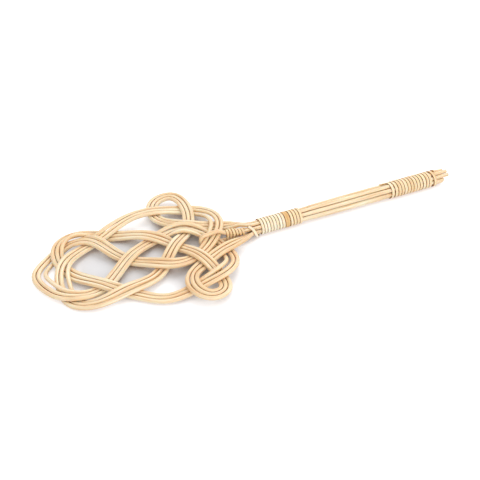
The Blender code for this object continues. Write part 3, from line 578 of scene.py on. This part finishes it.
def tie_path(high, low):
    """The nodes of the cane bent double: over the crossing, down beside it and back under it."""
    reach = (high - low) / 2
    bend_x = TIE_CROSSING - TIE_REACH + reach
    bend = []
    for angle in np.linspace(math.pi / 2, 3 * math.pi / 2, 11)[1:-1]:
        back = abs(math.cos(angle)) ** TIE_BEND_SHARE
        x = bend_x - reach * back
        rise = math.copysign(abs(math.sin(angle)) ** TIE_BEND_SHARE, math.sin(angle))
        bend.append((x, float(tie_y(x)), (high + low) / 2 + reach * rise))
    start, end = TIE_BINDING_START, TIE_BINDING_END
    flat_end = TIE_CROSSING + TIE_FLAT
    stops = [bend_x, flat_end, *np.linspace(flat_end, start, 4)[1:], (start + end) / 2]
    stops += [*np.linspace(end, TWIST_END, 5), NECK_END]
    stops += [*np.linspace(NECK_END, HANDLE_START, 4)[1:], TOTAL_LENGTH]
    legs = [tie_legs(x, high, low) for x in stops]
    return [upper for upper, _ in legs][::-1] + bend + [lower for _, lower in legs]


# Runs of the bindings

def round_handle(x, angle, thickness):
    """Place of a strand that lies on the handle at this angle, and the way outward there."""
    out = np.array([0.0, math.cos(angle), math.sin(angle)])
    facet = 1 / math.cos(math.pi / POINTS_PER_TURN)
    radius = (ring_radius(x) + cane_diameter(x) / 2 + BINDING_GAP) * facet + thickness / 2
    return np.array([x, axis_y(x), HANDLE_HEIGHT]) + radius * out, out


def winding(start, pitch, turns, phase, thickness, slacks=()):
    """Places along a winding round the handle, each with the way outward. A slack is the number of
    turns after which the winding steps on, and by how much more."""
    places = []
    for turn in np.linspace(0, turns, round(turns * POINTS_PER_TURN) + 1):
        steps = [step * float(smooth_step(turn, after - 0.5, after + 0.5)) for after, step in slacks]
        x = start + pitch * turn + sum(steps)
        places.append(round_handle(x, phase + 2 * math.pi * turn, thickness))
    return places


def run_of(places):
    """The points of a strand and its ways outward, as two arrays."""
    return np.array([point for point, _ in places]), np.array([out for _, out in places])


def neck_front():
    """The first strand of the neck. It comes off the tie's legs and straps the near ribbon first."""
    strap = []
    for run, angle, radius in natural_spline(np.array(STRAP_SHARES) * STRAP_UNITS, STRAP_STEP)[0]:
        x = NECK_START + run
        out = np.array([0.0, math.cos(angle), math.sin(angle)])
        strap.append((np.array([x, axis_y(x), HANDLE_HEIGHT]) + radius * out, out))
    start = NECK_START + NECK_PITCH / 2
    turns = winding(start, NECK_PITCH, FRONT_TURNS, -math.pi / 2, STRAND_THICKNESS)
    return run_of(strap[:-1] + turns)


def splice_turn():
    """The tuck between the two strands of the neck: part of a turn, open underneath."""
    open_turn = 2 * math.pi * (1 - SPLICE_TURN)
    start = SPLICE_PLACE + NECK_PITCH * (1 - SPLICE_TURN) / 2
    phase = (open_turn - math.pi) / 2
    return run_of(winding(start, NECK_PITCH, SPLICE_TURN, phase, STRAND_THICKNESS))


def neck_rear():
    start = SPLICE_PLACE + (SPLICE_WIDTH + REAR_PITCH) / 2
    return run_of(winding(start, REAR_PITCH, REAR_TURNS - 0.75, -math.pi / 2, STRAND_THICKNESS))


def grip_turns():
    """The strand of the grip: a tail along the handle, a bend, and then round and round."""
    radius = GRIP_RADIUS - GRIP_THICKNESS / 2
    tail = []
    for along in np.linspace(-TAIL_LENGTH, 0, 5)[:-1]:
        tail.append(round_handle(GRIP_START - TAIL_BEND + along, TAIL_ANGLE, GRIP_THICKNESS))
    for bend in np.linspace(0, math.pi / 2, 8)[:-1]:
        x = GRIP_START - TAIL_BEND * (1 - math.sin(bend))
        angle = TAIL_ANGLE + TAIL_BEND * (1 - math.cos(bend)) / radius
        tail.append(round_handle(x, angle, GRIP_THICKNESS))
    phase = TAIL_ANGLE + TAIL_BEND / radius
    turns = winding(GRIP_START, GRIP_PITCH, GRIP_TURNS - 1, phase, GRIP_THICKNESS, GRIP_SLACKS)
    return run_of(tail + turns)


def tie_turns(high, low):
    """Turns round both legs of the tie cane, which stand one above the other."""
    facet = 1 / math.cos(math.pi / POINTS_PER_TURN)
    side = (CANE_DIAMETER / 2 + TIE_GAP) * facet + STRAND_THICKNESS / 2
    steep = 1 / math.sin(2 * math.pi / POINTS_PER_TURN)
    start = (TIE_BINDING_START + TIE_BINDING_END - TIE_PITCH * (TIE_TURNS - 1)) / 2
    points, outward = [], []
    for turn in np.linspace(0, TIE_TURNS - 1, (TIE_TURNS - 1) * POINTS_PER_TURN + 1):
        x = start + TIE_PITCH * turn
        middle, half, upright = tie_pair(x, high, low)
        angle = math.pi / 2 + 2 * math.pi * turn
        share = max(-1.0, min(1.0, steep * math.cos(angle - upright)))
        out = np.array([0.0, math.cos(angle), math.sin(angle)])
        along = np.array([0.0, math.cos(upright), math.sin(upright)])
        points.append(np.array([x, axis_y(x), middle]) + share * half * along + side * out)
        outward.append(out)
    return np.array(points), np.array(outward)


# Camera and lamps. The camera's place is counted from the tip of the head, and the lamps' places are in
# the part's own frame. Angles are in degrees, the lens and the sensor in millimetres.
SENSOR_WIDTH = 36
LENS = 45
CAMERA_PLACE = (0.0428, -0.5809, 0.5061)
CAMERA_DOWN = 39.5
CAMERA_YAW = 21.3
SKY_LIGHT = 0.78
KEY_PLACE = (0.5, 0.95, 1.5)
KEY_AIM = (0, 0, 0)
KEY_SIZE = 1.5
KEY_POWER = 13
FILL_PLACE = (0.16, -0.95, 0.42)
FILL_AIM = (0.12, 0, 0)
FILL_SIZE = 0.8
FILL_POWER = 3.6

# Paper under the beater
FLOOR_SIZE = 12
FLOOR_GLOW = (0.03, 0.62)  # painted glow that the lens sees, under the head and round it
# Where the paper gets almost no painted glow and shows as lit: three ovals under the head, middle and half
# sizes
GREY_OVALS = (
    ((0.112, 0.002), (0.084, 0.072)),
    ((0.199, -0.004), (0.07, 0.116)),
    ((0.255, 0.003), (0.044, 0.028)),
)
GREY_FADE = (0.6, 1.08)  # shares of an oval between which the paper turns white
SHADE_AND_BOUNCE_REACH = 12 * MM  # how far from a cane the painted shade and warm painted bounce on the paper reach
SHADE_AND_BOUNCE_SAMPLES = 8
SHADE_AND_BOUNCE_STOPS = ((0.18, "A67E56"), (0.58, "E2E2E5"))  # painted shade and bounce, from shut in between canes to open

# Finer shapes for the looks
CANE_SIDES = 20
CANE_STEP = 2.2 * MM
STRAND_SIDES = 14
CORE_RINGS = 40
ROUND = 2  # the corner of a round section
STRAND_CORNER = 2.6
SNUG = 0.16 * MM  # canes of a ribbon lie closer than the solids, which keep a gap
GIRTH_WAVE = 0.018  # a cane's thickness wanders by this share
GIRTH_RUNS = (31 * MM, 13 * MM)  # in a long and a short wave
SHORT_WAVE = 0.6  # share of the short wave in the long one
SHORT_TURN = 2.3
NODE_SWELL = 0.045  # and swells by this share at its leaf rings
NODE_SPACING = 265 * MM
NODE_WIDTH = 5 * MM
STRAND_WAVES = ((0.03, 17 * MM, 1), (0.02, 6.1 * MM, 3))  # share of the width, run, turns of the seed
CREASE_SHADE_REACH = 1.5 * MM  # how far from a neighbour the painted shade between two canes runs out
EDGE_START = 0.6  # share of a strand's half width at which painted shade on its edges starts
# how dark the painted shade on a strand's edges gets
EDGE_SHADE = 0.7
OWN_RUN = 14 * MM  # points of a cane's own axis nearer than this along it are no neighbours
# Seeds, so that no two pieces show the same pattern, and how far a seed moves it along a cane
CANE_SEED = 1.7
TIE_SEED = 4.1
CORE_START = 3
SEED_GIRTH = 71 * MM
SEED_MAP = 0.37

# Patterns of the skin, counted to the metre, along and across a strand
STREAKS = (16, 330, 1)  # 62 mm long and 3 mm wide
FIBRES = (40, 3300, 1)  # 25 mm long and 0.3 mm wide
PATCHES = 11  # 90 mm wide
PORES = 1900  # 0.5 mm apart
# Stops of the colour ramps, each a place and a colour of the eye
STREAK_PLACES = (0.3, 0.47, 0.66)  # dark, middle and pale
PATCH_STOPS = ((0.35, "F8EADA"), (0.6, "FFFFFF"))
FIBRE_STOPS = ((0.33, "D8BE98"), (0.5, "FFFFFF"))
# painted shade in the grooves between canes and on strand edges, from open to shut
CREASE_SHADE_STOPS = ((0.28, "FFFFFF"), (0.52, "C48C54"), (0.76, "48200C"))
PORE_STOPS = ((0.12, "9C7347"), (0.3, "E2C195"))
NEW_STOP = 0.5
PATCH_SHARE = 0.8
FIBRE_SHARE = 0.45
FIBRE_RELIEF = 0.12
FIBRE_DEPTH = 0.1 * MM
TONE_SPAN = (0.3, 0.7)
DULLER = 0.08  # a dark streak is rougher than the skin by this
GLOSSIER = 0.06  # and a pale one smoother by this
PITH_SHARE = 0.2
PITH_COLOUR = (1, 0.5, 0.25)  # how far red, green and blue light creep
PITH_DEPTH = 1.4 * MM
GRAIN_ROUGHNESS = 0.75


def lengths_along(points):
    """Distance from the start at each point of a run."""
    return np.concatenate([[0], np.cumsum(np.linalg.norm(np.diff(points, axis=0), axis=1))])


def carried_frames(points, first_side):
    """Side and back of a strip along the points, turned as little as possible from its start."""
    run = np.gradient(points, axis=0)
    run /= np.linalg.norm(run, axis=1)[:, None]
    side = np.zeros_like(points)
    last = np.asarray(first_side, float)
    for i, way in enumerate(run):
        last = last - way * (last @ way)
        last /= np.linalg.norm(last)
        side[i] = last
    return side, np.cross(run, side)


def lofted(name, points, side, back, half_width, half_thick, corner, start=0.0):
    """A closed strip or cane along the points. Its section is an oval, squarer for a greater corner.
    The map runs along the length and round the girth, in metres."""
    sides = STRAND_SIDES if corner > ROUND else CANE_SIDES
    turn = np.linspace(0, 2 * math.pi, sides, endpoint=False)
    c, s = np.cos(turn), np.sin(turn)
    wide = np.sign(c) * np.abs(c) ** (2 / corner)
    thick = np.sign(s) * np.abs(s) ** (2 / corner)
    half_width = np.broadcast_to(half_width, len(points))
    half_thick = np.broadcast_to(half_thick, len(points))
    rings = (
        points[:, None]
        + side[:, None] * (half_width[:, None] * wide)[..., None]
        + back[:, None] * (half_thick[:, None] * thick)[..., None]
    )
    count = len(points)
    verts = rings.reshape(-1, 3)
    ring = np.arange(count - 1)[:, None] * sides
    i = np.arange(sides)[None]
    j = (i + 1) % sides
    faces = np.stack([ring + i, ring + j, ring + sides + j, ring + sides + i], axis=-1).reshape(-1, 4)
    caps = [list(range(sides))[::-1], list(range((count - 1) * sides, count * sides))]
    mesh = bpy.data.meshes.new(name)
    mesh.from_pydata(verts.tolist(), [], faces.tolist() + caps)
    along = start + lengths_along(points)
    girth = 2 * math.pi * math.sqrt((half_width.mean() ** 2 + half_thick.mean() ** 2) / 2)
    layer = mesh.uv_layers.new(name="strand")
    uv = np.zeros((len(mesh.loops), 2))
    low = np.repeat(along[:-1], sides)
    high = np.repeat(along[1:], sides)
    before = np.tile(np.arange(sides) / sides * girth, count - 1)
    after = np.tile((np.arange(sides) + 1) / sides * girth, count - 1)
    quads = np.stack([low, before, low, after, high, after, high, before], axis=-1).reshape(-1, 2)
    uv[: len(quads)] = quads
    flat = np.concatenate([np.stack([wide, thick], axis=-1)[::-1], np.stack([wide, thick], axis=-1)])
    uv[len(quads) :] = flat * (half_width.mean(), half_thick.mean())
    layer.data.foreach_set("uv", uv.reshape(-1))
    mesh.update()
    obj = bpy.data.objects.new(name, mesh)
    bpy.context.scene.collection.objects.link(obj)
    for polygon in mesh.polygons[:-2]:
        polygon.use_smooth = True
    turn_outward(mesh)
    return obj


def turn_outward(mesh):
    """Turns all faces outward."""
    work = bmesh.new()
    work.from_mesh(mesh)
    bmesh.ops.recalc_face_normals(work, faces=work.faces)
    work.to_mesh(mesh)
    work.free()


def cane_girth(along, base, seed):
    """Half the thickness along a cane: it wanders a little and swells at the leaf rings."""
    long_run, short_run = GIRTH_RUNS
    wave = np.sin(along / long_run + seed) + SHORT_WAVE * np.sin(along / short_run + SHORT_TURN * seed)
    place = (along + seed * SEED_GIRTH) % NODE_SPACING
    ring = np.exp(-(((place - NODE_SPACING / 2) / NODE_WIDTH) ** 2))
    return (base + SNUG) / 2 * (1 + GIRTH_WAVE * wave / (1 + SHORT_WAVE) + NODE_SWELL * ring)


def cane_piece(name, nodes, seed, finish, grain):
    """A cane along a smooth run through the nodes. Gives the piece and the points of its axis."""
    points, _ = natural_spline(np.asarray(nodes, float), CANE_STEP)
    base = np.array([cane_diameter(x) for x in points[:, 0]])
    half = cane_girth(lengths_along(points), base, seed)
    side, back = carried_frames(points, (0, 0, 1))
    obj = lofted(name, points, side, back, half, half, ROUND, start=seed * SEED_MAP)
    sawn_ends(obj, finish, grain)
    return obj, points


def sawn_ends(obj, finish, grain):
    """The skin all along, and open grain on the two cuts."""
    obj.data.materials.append(finish)
    obj.data.materials.append(grain)
    for polygon in obj.data.polygons[-2:]:
        polygon.material_index = 1


def paint_crease_shade(canes):
    """Marks where a cane lies close to a neighbour: the attribute is 1 where the two touch and runs out
    to 0. The shader browns these lines as painted shade, where the neighbour keeps the light out."""
    owners = [(number, place) for number, (_, axis) in enumerate(canes) for place in range(len(axis))]
    tree = KDTree(len(owners))
    for index, (number, place) in enumerate(owners):
        tree.insert(canes[number][1][place], index)
    tree.balance()
    own_steps = OWN_RUN / CANE_STEP
    radius = CANE_DIAMETER / 2
    for number, (piece, _) in enumerate(canes):
        marks = np.zeros(len(piece.data.vertices))
        for vertex in piece.data.vertices:
            place = vertex.index // CANE_SIDES
            for _, index, distance in tree.find_range(vertex.co, radius + CREASE_SHADE_REACH):
                owner, other = owners[index]
                if owner != number or abs(other - place) > own_steps:
                    marks[vertex.index] = max(marks[vertex.index], 1 - (distance - radius) / CREASE_SHADE_REACH)
        set_crease_shade(piece, np.clip(marks, 0, 1))


def set_crease_shade(piece, marks):
    attribute = piece.data.attributes.new("crease_shade", "FLOAT", "POINT")
    attribute.data.foreach_set("value", marks)


def core_piece(finish, grain):
    """The rod that the ring of canes lies on."""
    points = np.array([(x, axis_y(x), HANDLE_HEIGHT) for x in np.linspace(*CORE_SPAN, CORE_RINGS)])
    side, back = carried_frames(points, (0, 0, 1))
    half = CORE_DIAMETER / 2
    obj = lofted("handle_core_rod", points, side, back, half, half, ROUND, start=CORE_START)
    sawn_ends(obj, finish, grain)
    return obj


def strand_piece(name, points, outward, width, thickness, finish, seed):
    """A strand of split cane: an oval with squared corners, its back turned outward."""
    run = np.gradient(points, axis=0)
    run /= np.linalg.norm(run, axis=1)[:, None]
    back = outward - (outward * run).sum(axis=1)[:, None] * run
    back /= np.linalg.norm(back, axis=1)[:, None]
    side = np.cross(run, back)
    along = lengths_along(points)
    wave = 1 + sum(share * np.sin(along / length + times * seed) for share, length, times in STRAND_WAVES)
    half_width = width / 2 * wave
    obj = lofted(name, points, side, back, half_width, thickness / 2, STRAND_CORNER, start=seed)
    # painted shade along the strand's two edges, where its turns meet
    turn = np.linspace(0, 2 * math.pi, STRAND_SIDES, endpoint=False)
    edge = np.clip((np.abs(np.cos(turn)) - EDGE_START) / (1 - EDGE_START), 0, 1) * EDGE_SHADE
    set_crease_shade(obj, np.tile(edge, len(points)))
    obj.data.materials.append(finish)
    return obj


# Finishes

def linear(hex_colour):
    """A colour of the eye, as six hex digits, turned to the linear values that a shader takes."""
    values = [int(hex_colour[i : i + 2], 16) / 255 for i in (0, 2, 4)]
    return (*[v / 12.92 if v <= 0.04045 else ((v + 0.055) / 1.055) ** 2.4 for v in values], 1)


def add(tree, kind, settings=None, stops=(), **inputs):
    """A shader node with its settings, the stops of its ramp, its values and its links. An input goes
    by its name, or as i and its number."""
    node = tree.nodes.new(f"ShaderNode{kind}")
    for key, value in (settings or {}).items():
        setattr(node, key, value)
    if stops:
        elements = node.color_ramp.elements
        while len(elements) < len(stops):
            elements.new(NEW_STOP)
        for element, (place, colour) in zip(elements, stops):
            element.position = place
            element.color = linear(colour)
    for key, value in inputs.items():
        numbered = key[0] == "i" and key[1:].isdigit()
        socket = node.inputs[int(key[1:]) if numbered else key.replace("_", " ")]
        if isinstance(value, bpy.types.NodeSocket):
            tree.links.new(value, socket)
        else:
            socket.default_value = value
    return node


def cleared(owner):
    """The empty node tree of a material or a world."""
    owner.use_nodes = True
    owner.node_tree.nodes.clear()
    return owner.node_tree


def cane_finish(name, pale, middle, dark, roughness):
    """Rattan with its skin on: a hard satin skin, pale straw to peach in long streaks, with fine
    lengthwise fibres, and painted shade: browned in the grooves between touching canes and along the edges
    of a strand."""
    made = bpy.data.materials.new(name)
    tree = cleared(made)
    multiply = {"data_type": "RGBA", "blend_type": "MULTIPLY"}
    uv = add(tree, "UVMap", {"uv_map": "strand"}).outputs["UV"]
    streaks = add(tree, "Mapping", Vector=uv, Scale=STREAKS).outputs["Vector"]
    tone = add(tree, "TexNoise", Vector=streaks, Scale=1, Detail=3, Roughness=0.55).outputs["Fac"]
    fibres = add(tree, "Mapping", Vector=uv, Scale=FIBRES).outputs["Vector"]
    fibre = add(tree, "TexNoise", Vector=fibres, Scale=1, Detail=2, Roughness=0.6).outputs["Fac"]
    place = add(tree, "TexCoord").outputs["Object"]
    patch = add(tree, "TexNoise", Vector=place, Scale=PATCHES, Detail=2).outputs["Fac"]
    streak_stops = tuple(zip(STREAK_PLACES, (dark, middle, pale)))
    colour = add(tree, "ValToRGB", stops=streak_stops, Fac=tone).outputs["Color"]
    warm = add(tree, "ValToRGB", stops=PATCH_STOPS, Fac=patch).outputs["Color"]
    colour = add(tree, "Mix", multiply, i0=PATCH_SHARE, i6=colour, i7=warm).outputs[2]
    lines = add(tree, "ValToRGB", stops=FIBRE_STOPS, Fac=fibre).outputs["Color"]
    colour = add(tree, "Mix", multiply, i0=FIBRE_SHARE, i6=colour, i7=lines).outputs[2]
    # painted shade: grooves between touching canes and the edges of strands are browned
    crease_shade = add(tree, "Attribute", {"attribute_name": "crease_shade"}).outputs["Fac"]
    crease_shade_colour = add(tree, "ValToRGB", stops=CREASE_SHADE_STOPS, Fac=crease_shade).outputs["Color"]
    colour = add(tree, "Mix", multiply, i0=1, i6=colour, i7=crease_shade_colour).outputs[2]
    bump = add(tree, "Bump", Height=fibre, Strength=FIBRE_RELIEF, Distance=FIBRE_DEPTH)
    shine = add(
        tree, "MapRange", Value=tone, From_Min=TONE_SPAN[0], From_Max=TONE_SPAN[1],
        To_Min=roughness + DULLER, To_Max=roughness - GLOSSIER,
    )
    # light creeps a millimetre into the pith, which warms the grooves and the shadow sides
    shader = add(
        tree, "BsdfPrincipled", Base_Color=colour, Roughness=shine.outputs["Result"],
        Normal=bump.outputs["Normal"], Subsurface_Weight=PITH_SHARE, Subsurface_Radius=PITH_COLOUR,
        Subsurface_Scale=PITH_DEPTH,
    )
    add(tree, "OutputMaterial", Surface=shader.outputs["BSDF"])
    return made


def end_grain():
    """The sawn end of a cane: dull pale pith with open pores, darker than its skin."""
    made = bpy.data.materials.new("rattan_end_grain")
    tree = cleared(made)
    place = add(tree, "TexCoord").outputs["Object"]
    pores = add(tree, "TexVoronoi", Vector=place, Scale=PORES).outputs["Distance"]
    colour = add(tree, "ValToRGB", stops=PORE_STOPS, Fac=pores).outputs["Color"]
    shader = add(tree, "BsdfPrincipled", Base_Color=colour, Roughness=GRAIN_ROUGHNESS)
    add(tree, "OutputMaterial", Surface=shader.outputs["BSDF"])
    return made


# The pieces

def dress_canes(heads, finish, grain):
    """The three canes of the plait and the tie cane, and the heights of the tie's legs."""
    names = {-1: "knot_cane_left", 0: "knot_cane_middle", 1: "knot_cane_right"}
    canes = []
    for cane, head in zip(RIBBON_CANES, heads):
        path = ribbon_path(cane, head)
        canes.append(cane_piece(f"{names[cane]}_rattan", path, CANE_SEED + cane, finish, grain))
    heights = tie_heights(heads)
    canes.append(cane_piece("tie_cane_rattan", tie_path(*heights), TIE_SEED, finish, grain))
    paint_crease_shade(canes)
    pieces = [piece for piece, _ in canes]
    return list(zip(pieces, [*names.values(), "tie_cane"])), heights


def dress_bindings(heights, pale, warm, brown):
    """The strands of split cane: node, run, width, thickness, finish and seed of each."""
    thin, thick = STRAND_THICKNESS, GRIP_THICKNESS
    strands = (
        ("neck_binding_front", neck_front(), NECK_STRAND_WIDTH, thin, pale, 0.3),
        ("binding_splice", splice_turn(), SPLICE_WIDTH - 2 * CANE_GAP, thin, brown, 0.9),
        ("neck_binding_rear", neck_rear(), REAR_STRAND_WIDTH, thin, warm, 1.4),
        ("grip_binding", grip_turns(), GRIP_STRAND_WIDTH, thick, warm, 2.2),
        ("tie_binding", tie_turns(*heights), TIE_STRAND_WIDTH, thin, warm, 3.1),
    )
    pieces = []
    for node, run, width, thickness, finish, seed in strands:
        pieces.append((strand_piece(f"{node}_strand", *run, width, thickness, finish, seed), node))
    return pieces


# The studio

def seen_by_lens(tree):
    """1 for what the lens sees, straight or in a reflection, and 0 for what only lights the scene."""
    rays = add(tree, "LightPath").outputs
    either = {"operation": "MAXIMUM"}
    return add(tree, "Math", either, i0=rays["Is Camera Ray"], i1=rays["Is Glossy Ray"]).outputs[0]


def make_floor(shift):
    """A white paper sweep. Under the head the lens sees it as it is lit, with the shadows of the
    plait, and round it a painted glow makes it brighter to the lens, so that it runs out to white."""
    bpy.ops.mesh.primitive_plane_add(size=FLOOR_SIZE)
    floor = bpy.context.object
    floor.name = "floor"
    made = bpy.data.materials.new("white_paper")
    tree = cleared(made)
    # painted shade and painted bounce light: close to the canes the paper is darkened and warmed, where
    # they shut out the light and throw back their colour
    samples = {"samples": SHADE_AND_BOUNCE_SAMPLES}
    clear = add(tree, "AmbientOcclusion", samples, Distance=SHADE_AND_BOUNCE_REACH).outputs["AO"]
    painted_shade_tint = add(tree, "ValToRGB", stops=SHADE_AND_BOUNCE_STOPS, Fac=clear).outputs["Color"]
    paper = add(tree, "BsdfDiffuse", Color=painted_shade_tint).outputs["BSDF"]
    place = add(tree, "TexCoord").outputs["Object"]
    edge = None
    for middle, half in GREY_OVALS:
        centre = Vector((*middle, 0)) + shift
        turned = add(tree, "VectorMath", {"operation": "SUBTRACT"}, i0=place, i1=centre)
        scaled = add(tree, "VectorMath", {"operation": "DIVIDE"}, i0=turned.outputs[0],
                     i1=(*half, 1))
        reach = add(tree, "VectorMath", {"operation": "LENGTH"}, i0=scaled.outputs[0])
        reach = reach.outputs["Value"]
        if edge is not None:
            reach = add(tree, "Math", {"operation": "MINIMUM"}, i0=edge, i1=reach).outputs[0]
        edge = reach
    white = add(tree, "MapRange", Value=edge, From_Min=GREY_FADE[0], From_Max=GREY_FADE[1],
                To_Min=FLOOR_GLOW[0], To_Max=FLOOR_GLOW[1]).outputs["Result"]
    glow = add(tree, "Math", {"operation": "MULTIPLY"}, i0=seen_by_lens(tree), i1=white).outputs[0]
    light = add(tree, "Emission", Color=(1, 1, 1, 1), Strength=glow).outputs["Emission"]
    both = add(tree, "AddShader", i0=paper, i1=light).outputs["Shader"]
    add(tree, "OutputMaterial", Surface=both)
    floor.data.materials.append(made)


def make_world():
    """White to the lens and to reflections, and a soft even light from all round."""
    world = bpy.data.worlds.new("studio")
    bpy.context.scene.world = world
    tree = cleared(world)
    strength = add(tree, "MapRange", Value=seen_by_lens(tree), To_Min=SKY_LIGHT, To_Max=1)
    light = add(tree, "Background", Color=(1, 1, 1, 1), Strength=strength.outputs["Result"])
    add(tree, "OutputWorld", Surface=light.outputs["Background"])


def make_lamp(name, place, aim, size, power):
    data = bpy.data.lights.new(name, "AREA")
    data.shape = "DISK"
    data.size = size
    data.energy = power
    lamp = bpy.data.objects.new(name, data)
    lamp.location = place
    lamp.rotation_euler = (Vector(aim) - Vector(place)).to_track_quat("-Z", "Y").to_euler()
    bpy.context.scene.collection.objects.link(lamp)


def make_camera(shift):
    data = bpy.data.cameras.new("camera")
    data.sensor_width = SENSOR_WIDTH
    data.lens = LENS
    camera = bpy.data.objects.new("camera", data)
    camera.location = Vector(CAMERA_PLACE) + shift
    camera.rotation_euler = (math.radians(90 - CAMERA_DOWN), 0, -math.radians(CAMERA_YAW))
    bpy.context.scene.collection.objects.link(camera)
    bpy.context.scene.camera = camera


def own_shift(grip_points):
    """From the tip of the head to the part's own frame: the solids give it."""
    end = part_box("tie_cane")[1][0]
    low, high = (Vector(corner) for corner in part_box("grip_binding"))
    across = (low.y + high.y) / 2
    own = (grip_points[:, 1].min() + grip_points[:, 1].max()) / 2
    return Vector((end - TOTAL_LENGTH, across - own, 0))


def rest_flat(pieces):
    """Presses what would hang below the floor flat: the underside of the grip binding."""
    for piece, _ in pieces:
        for vertex in piece.data.vertices:
            vertex.co.z = max(vertex.co.z, 0)


def main():
    # skins: pale, middle and dark, and the roughness
    cane = cane_finish("rattan_cane_skin", "FCF2D6", "F7DFB9", "E6BF8E", 0.42)
    pale = cane_finish("pale_split_cane_skin", "FFFAE6", "FBF0D2", "EFD9AE", 0.45)
    warm = cane_finish("split_cane_skin", "FDF1D2", "F8E2B8", "E4BD88", 0.45)
    brown = cane_finish("brown_split_cane_skin", "F2D7A6", "E6C084", "CE9F5E", 0.5)
    grain = end_grain()
    woven, length, plans, held = plait_plan()
    pieces, heights = dress_canes(solve_heights(plans, held, woven, length), cane, grain)
    pieces += dress_bindings(heights, pale, warm, brown)
    pieces.append((core_piece(cane, grain), "handle_core"))
    points, _ = grip_turns()
    shift = own_shift(points)
    for piece, node in pieces:
        piece.data.transform(Matrix.Translation(shift))
        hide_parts(node)
        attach(piece, "root")
    rest_flat(pieces)
    make_floor(shift)
    make_world()
    make_lamp("key", KEY_PLACE, KEY_AIM, KEY_SIZE, KEY_POWER)
    make_lamp("fill", FILL_PLACE, FILL_AIM, FILL_SIZE, FILL_POWER)
    make_camera(shift)
    bpy.context.scene.view_settings.view_transform = "Standard"


main()
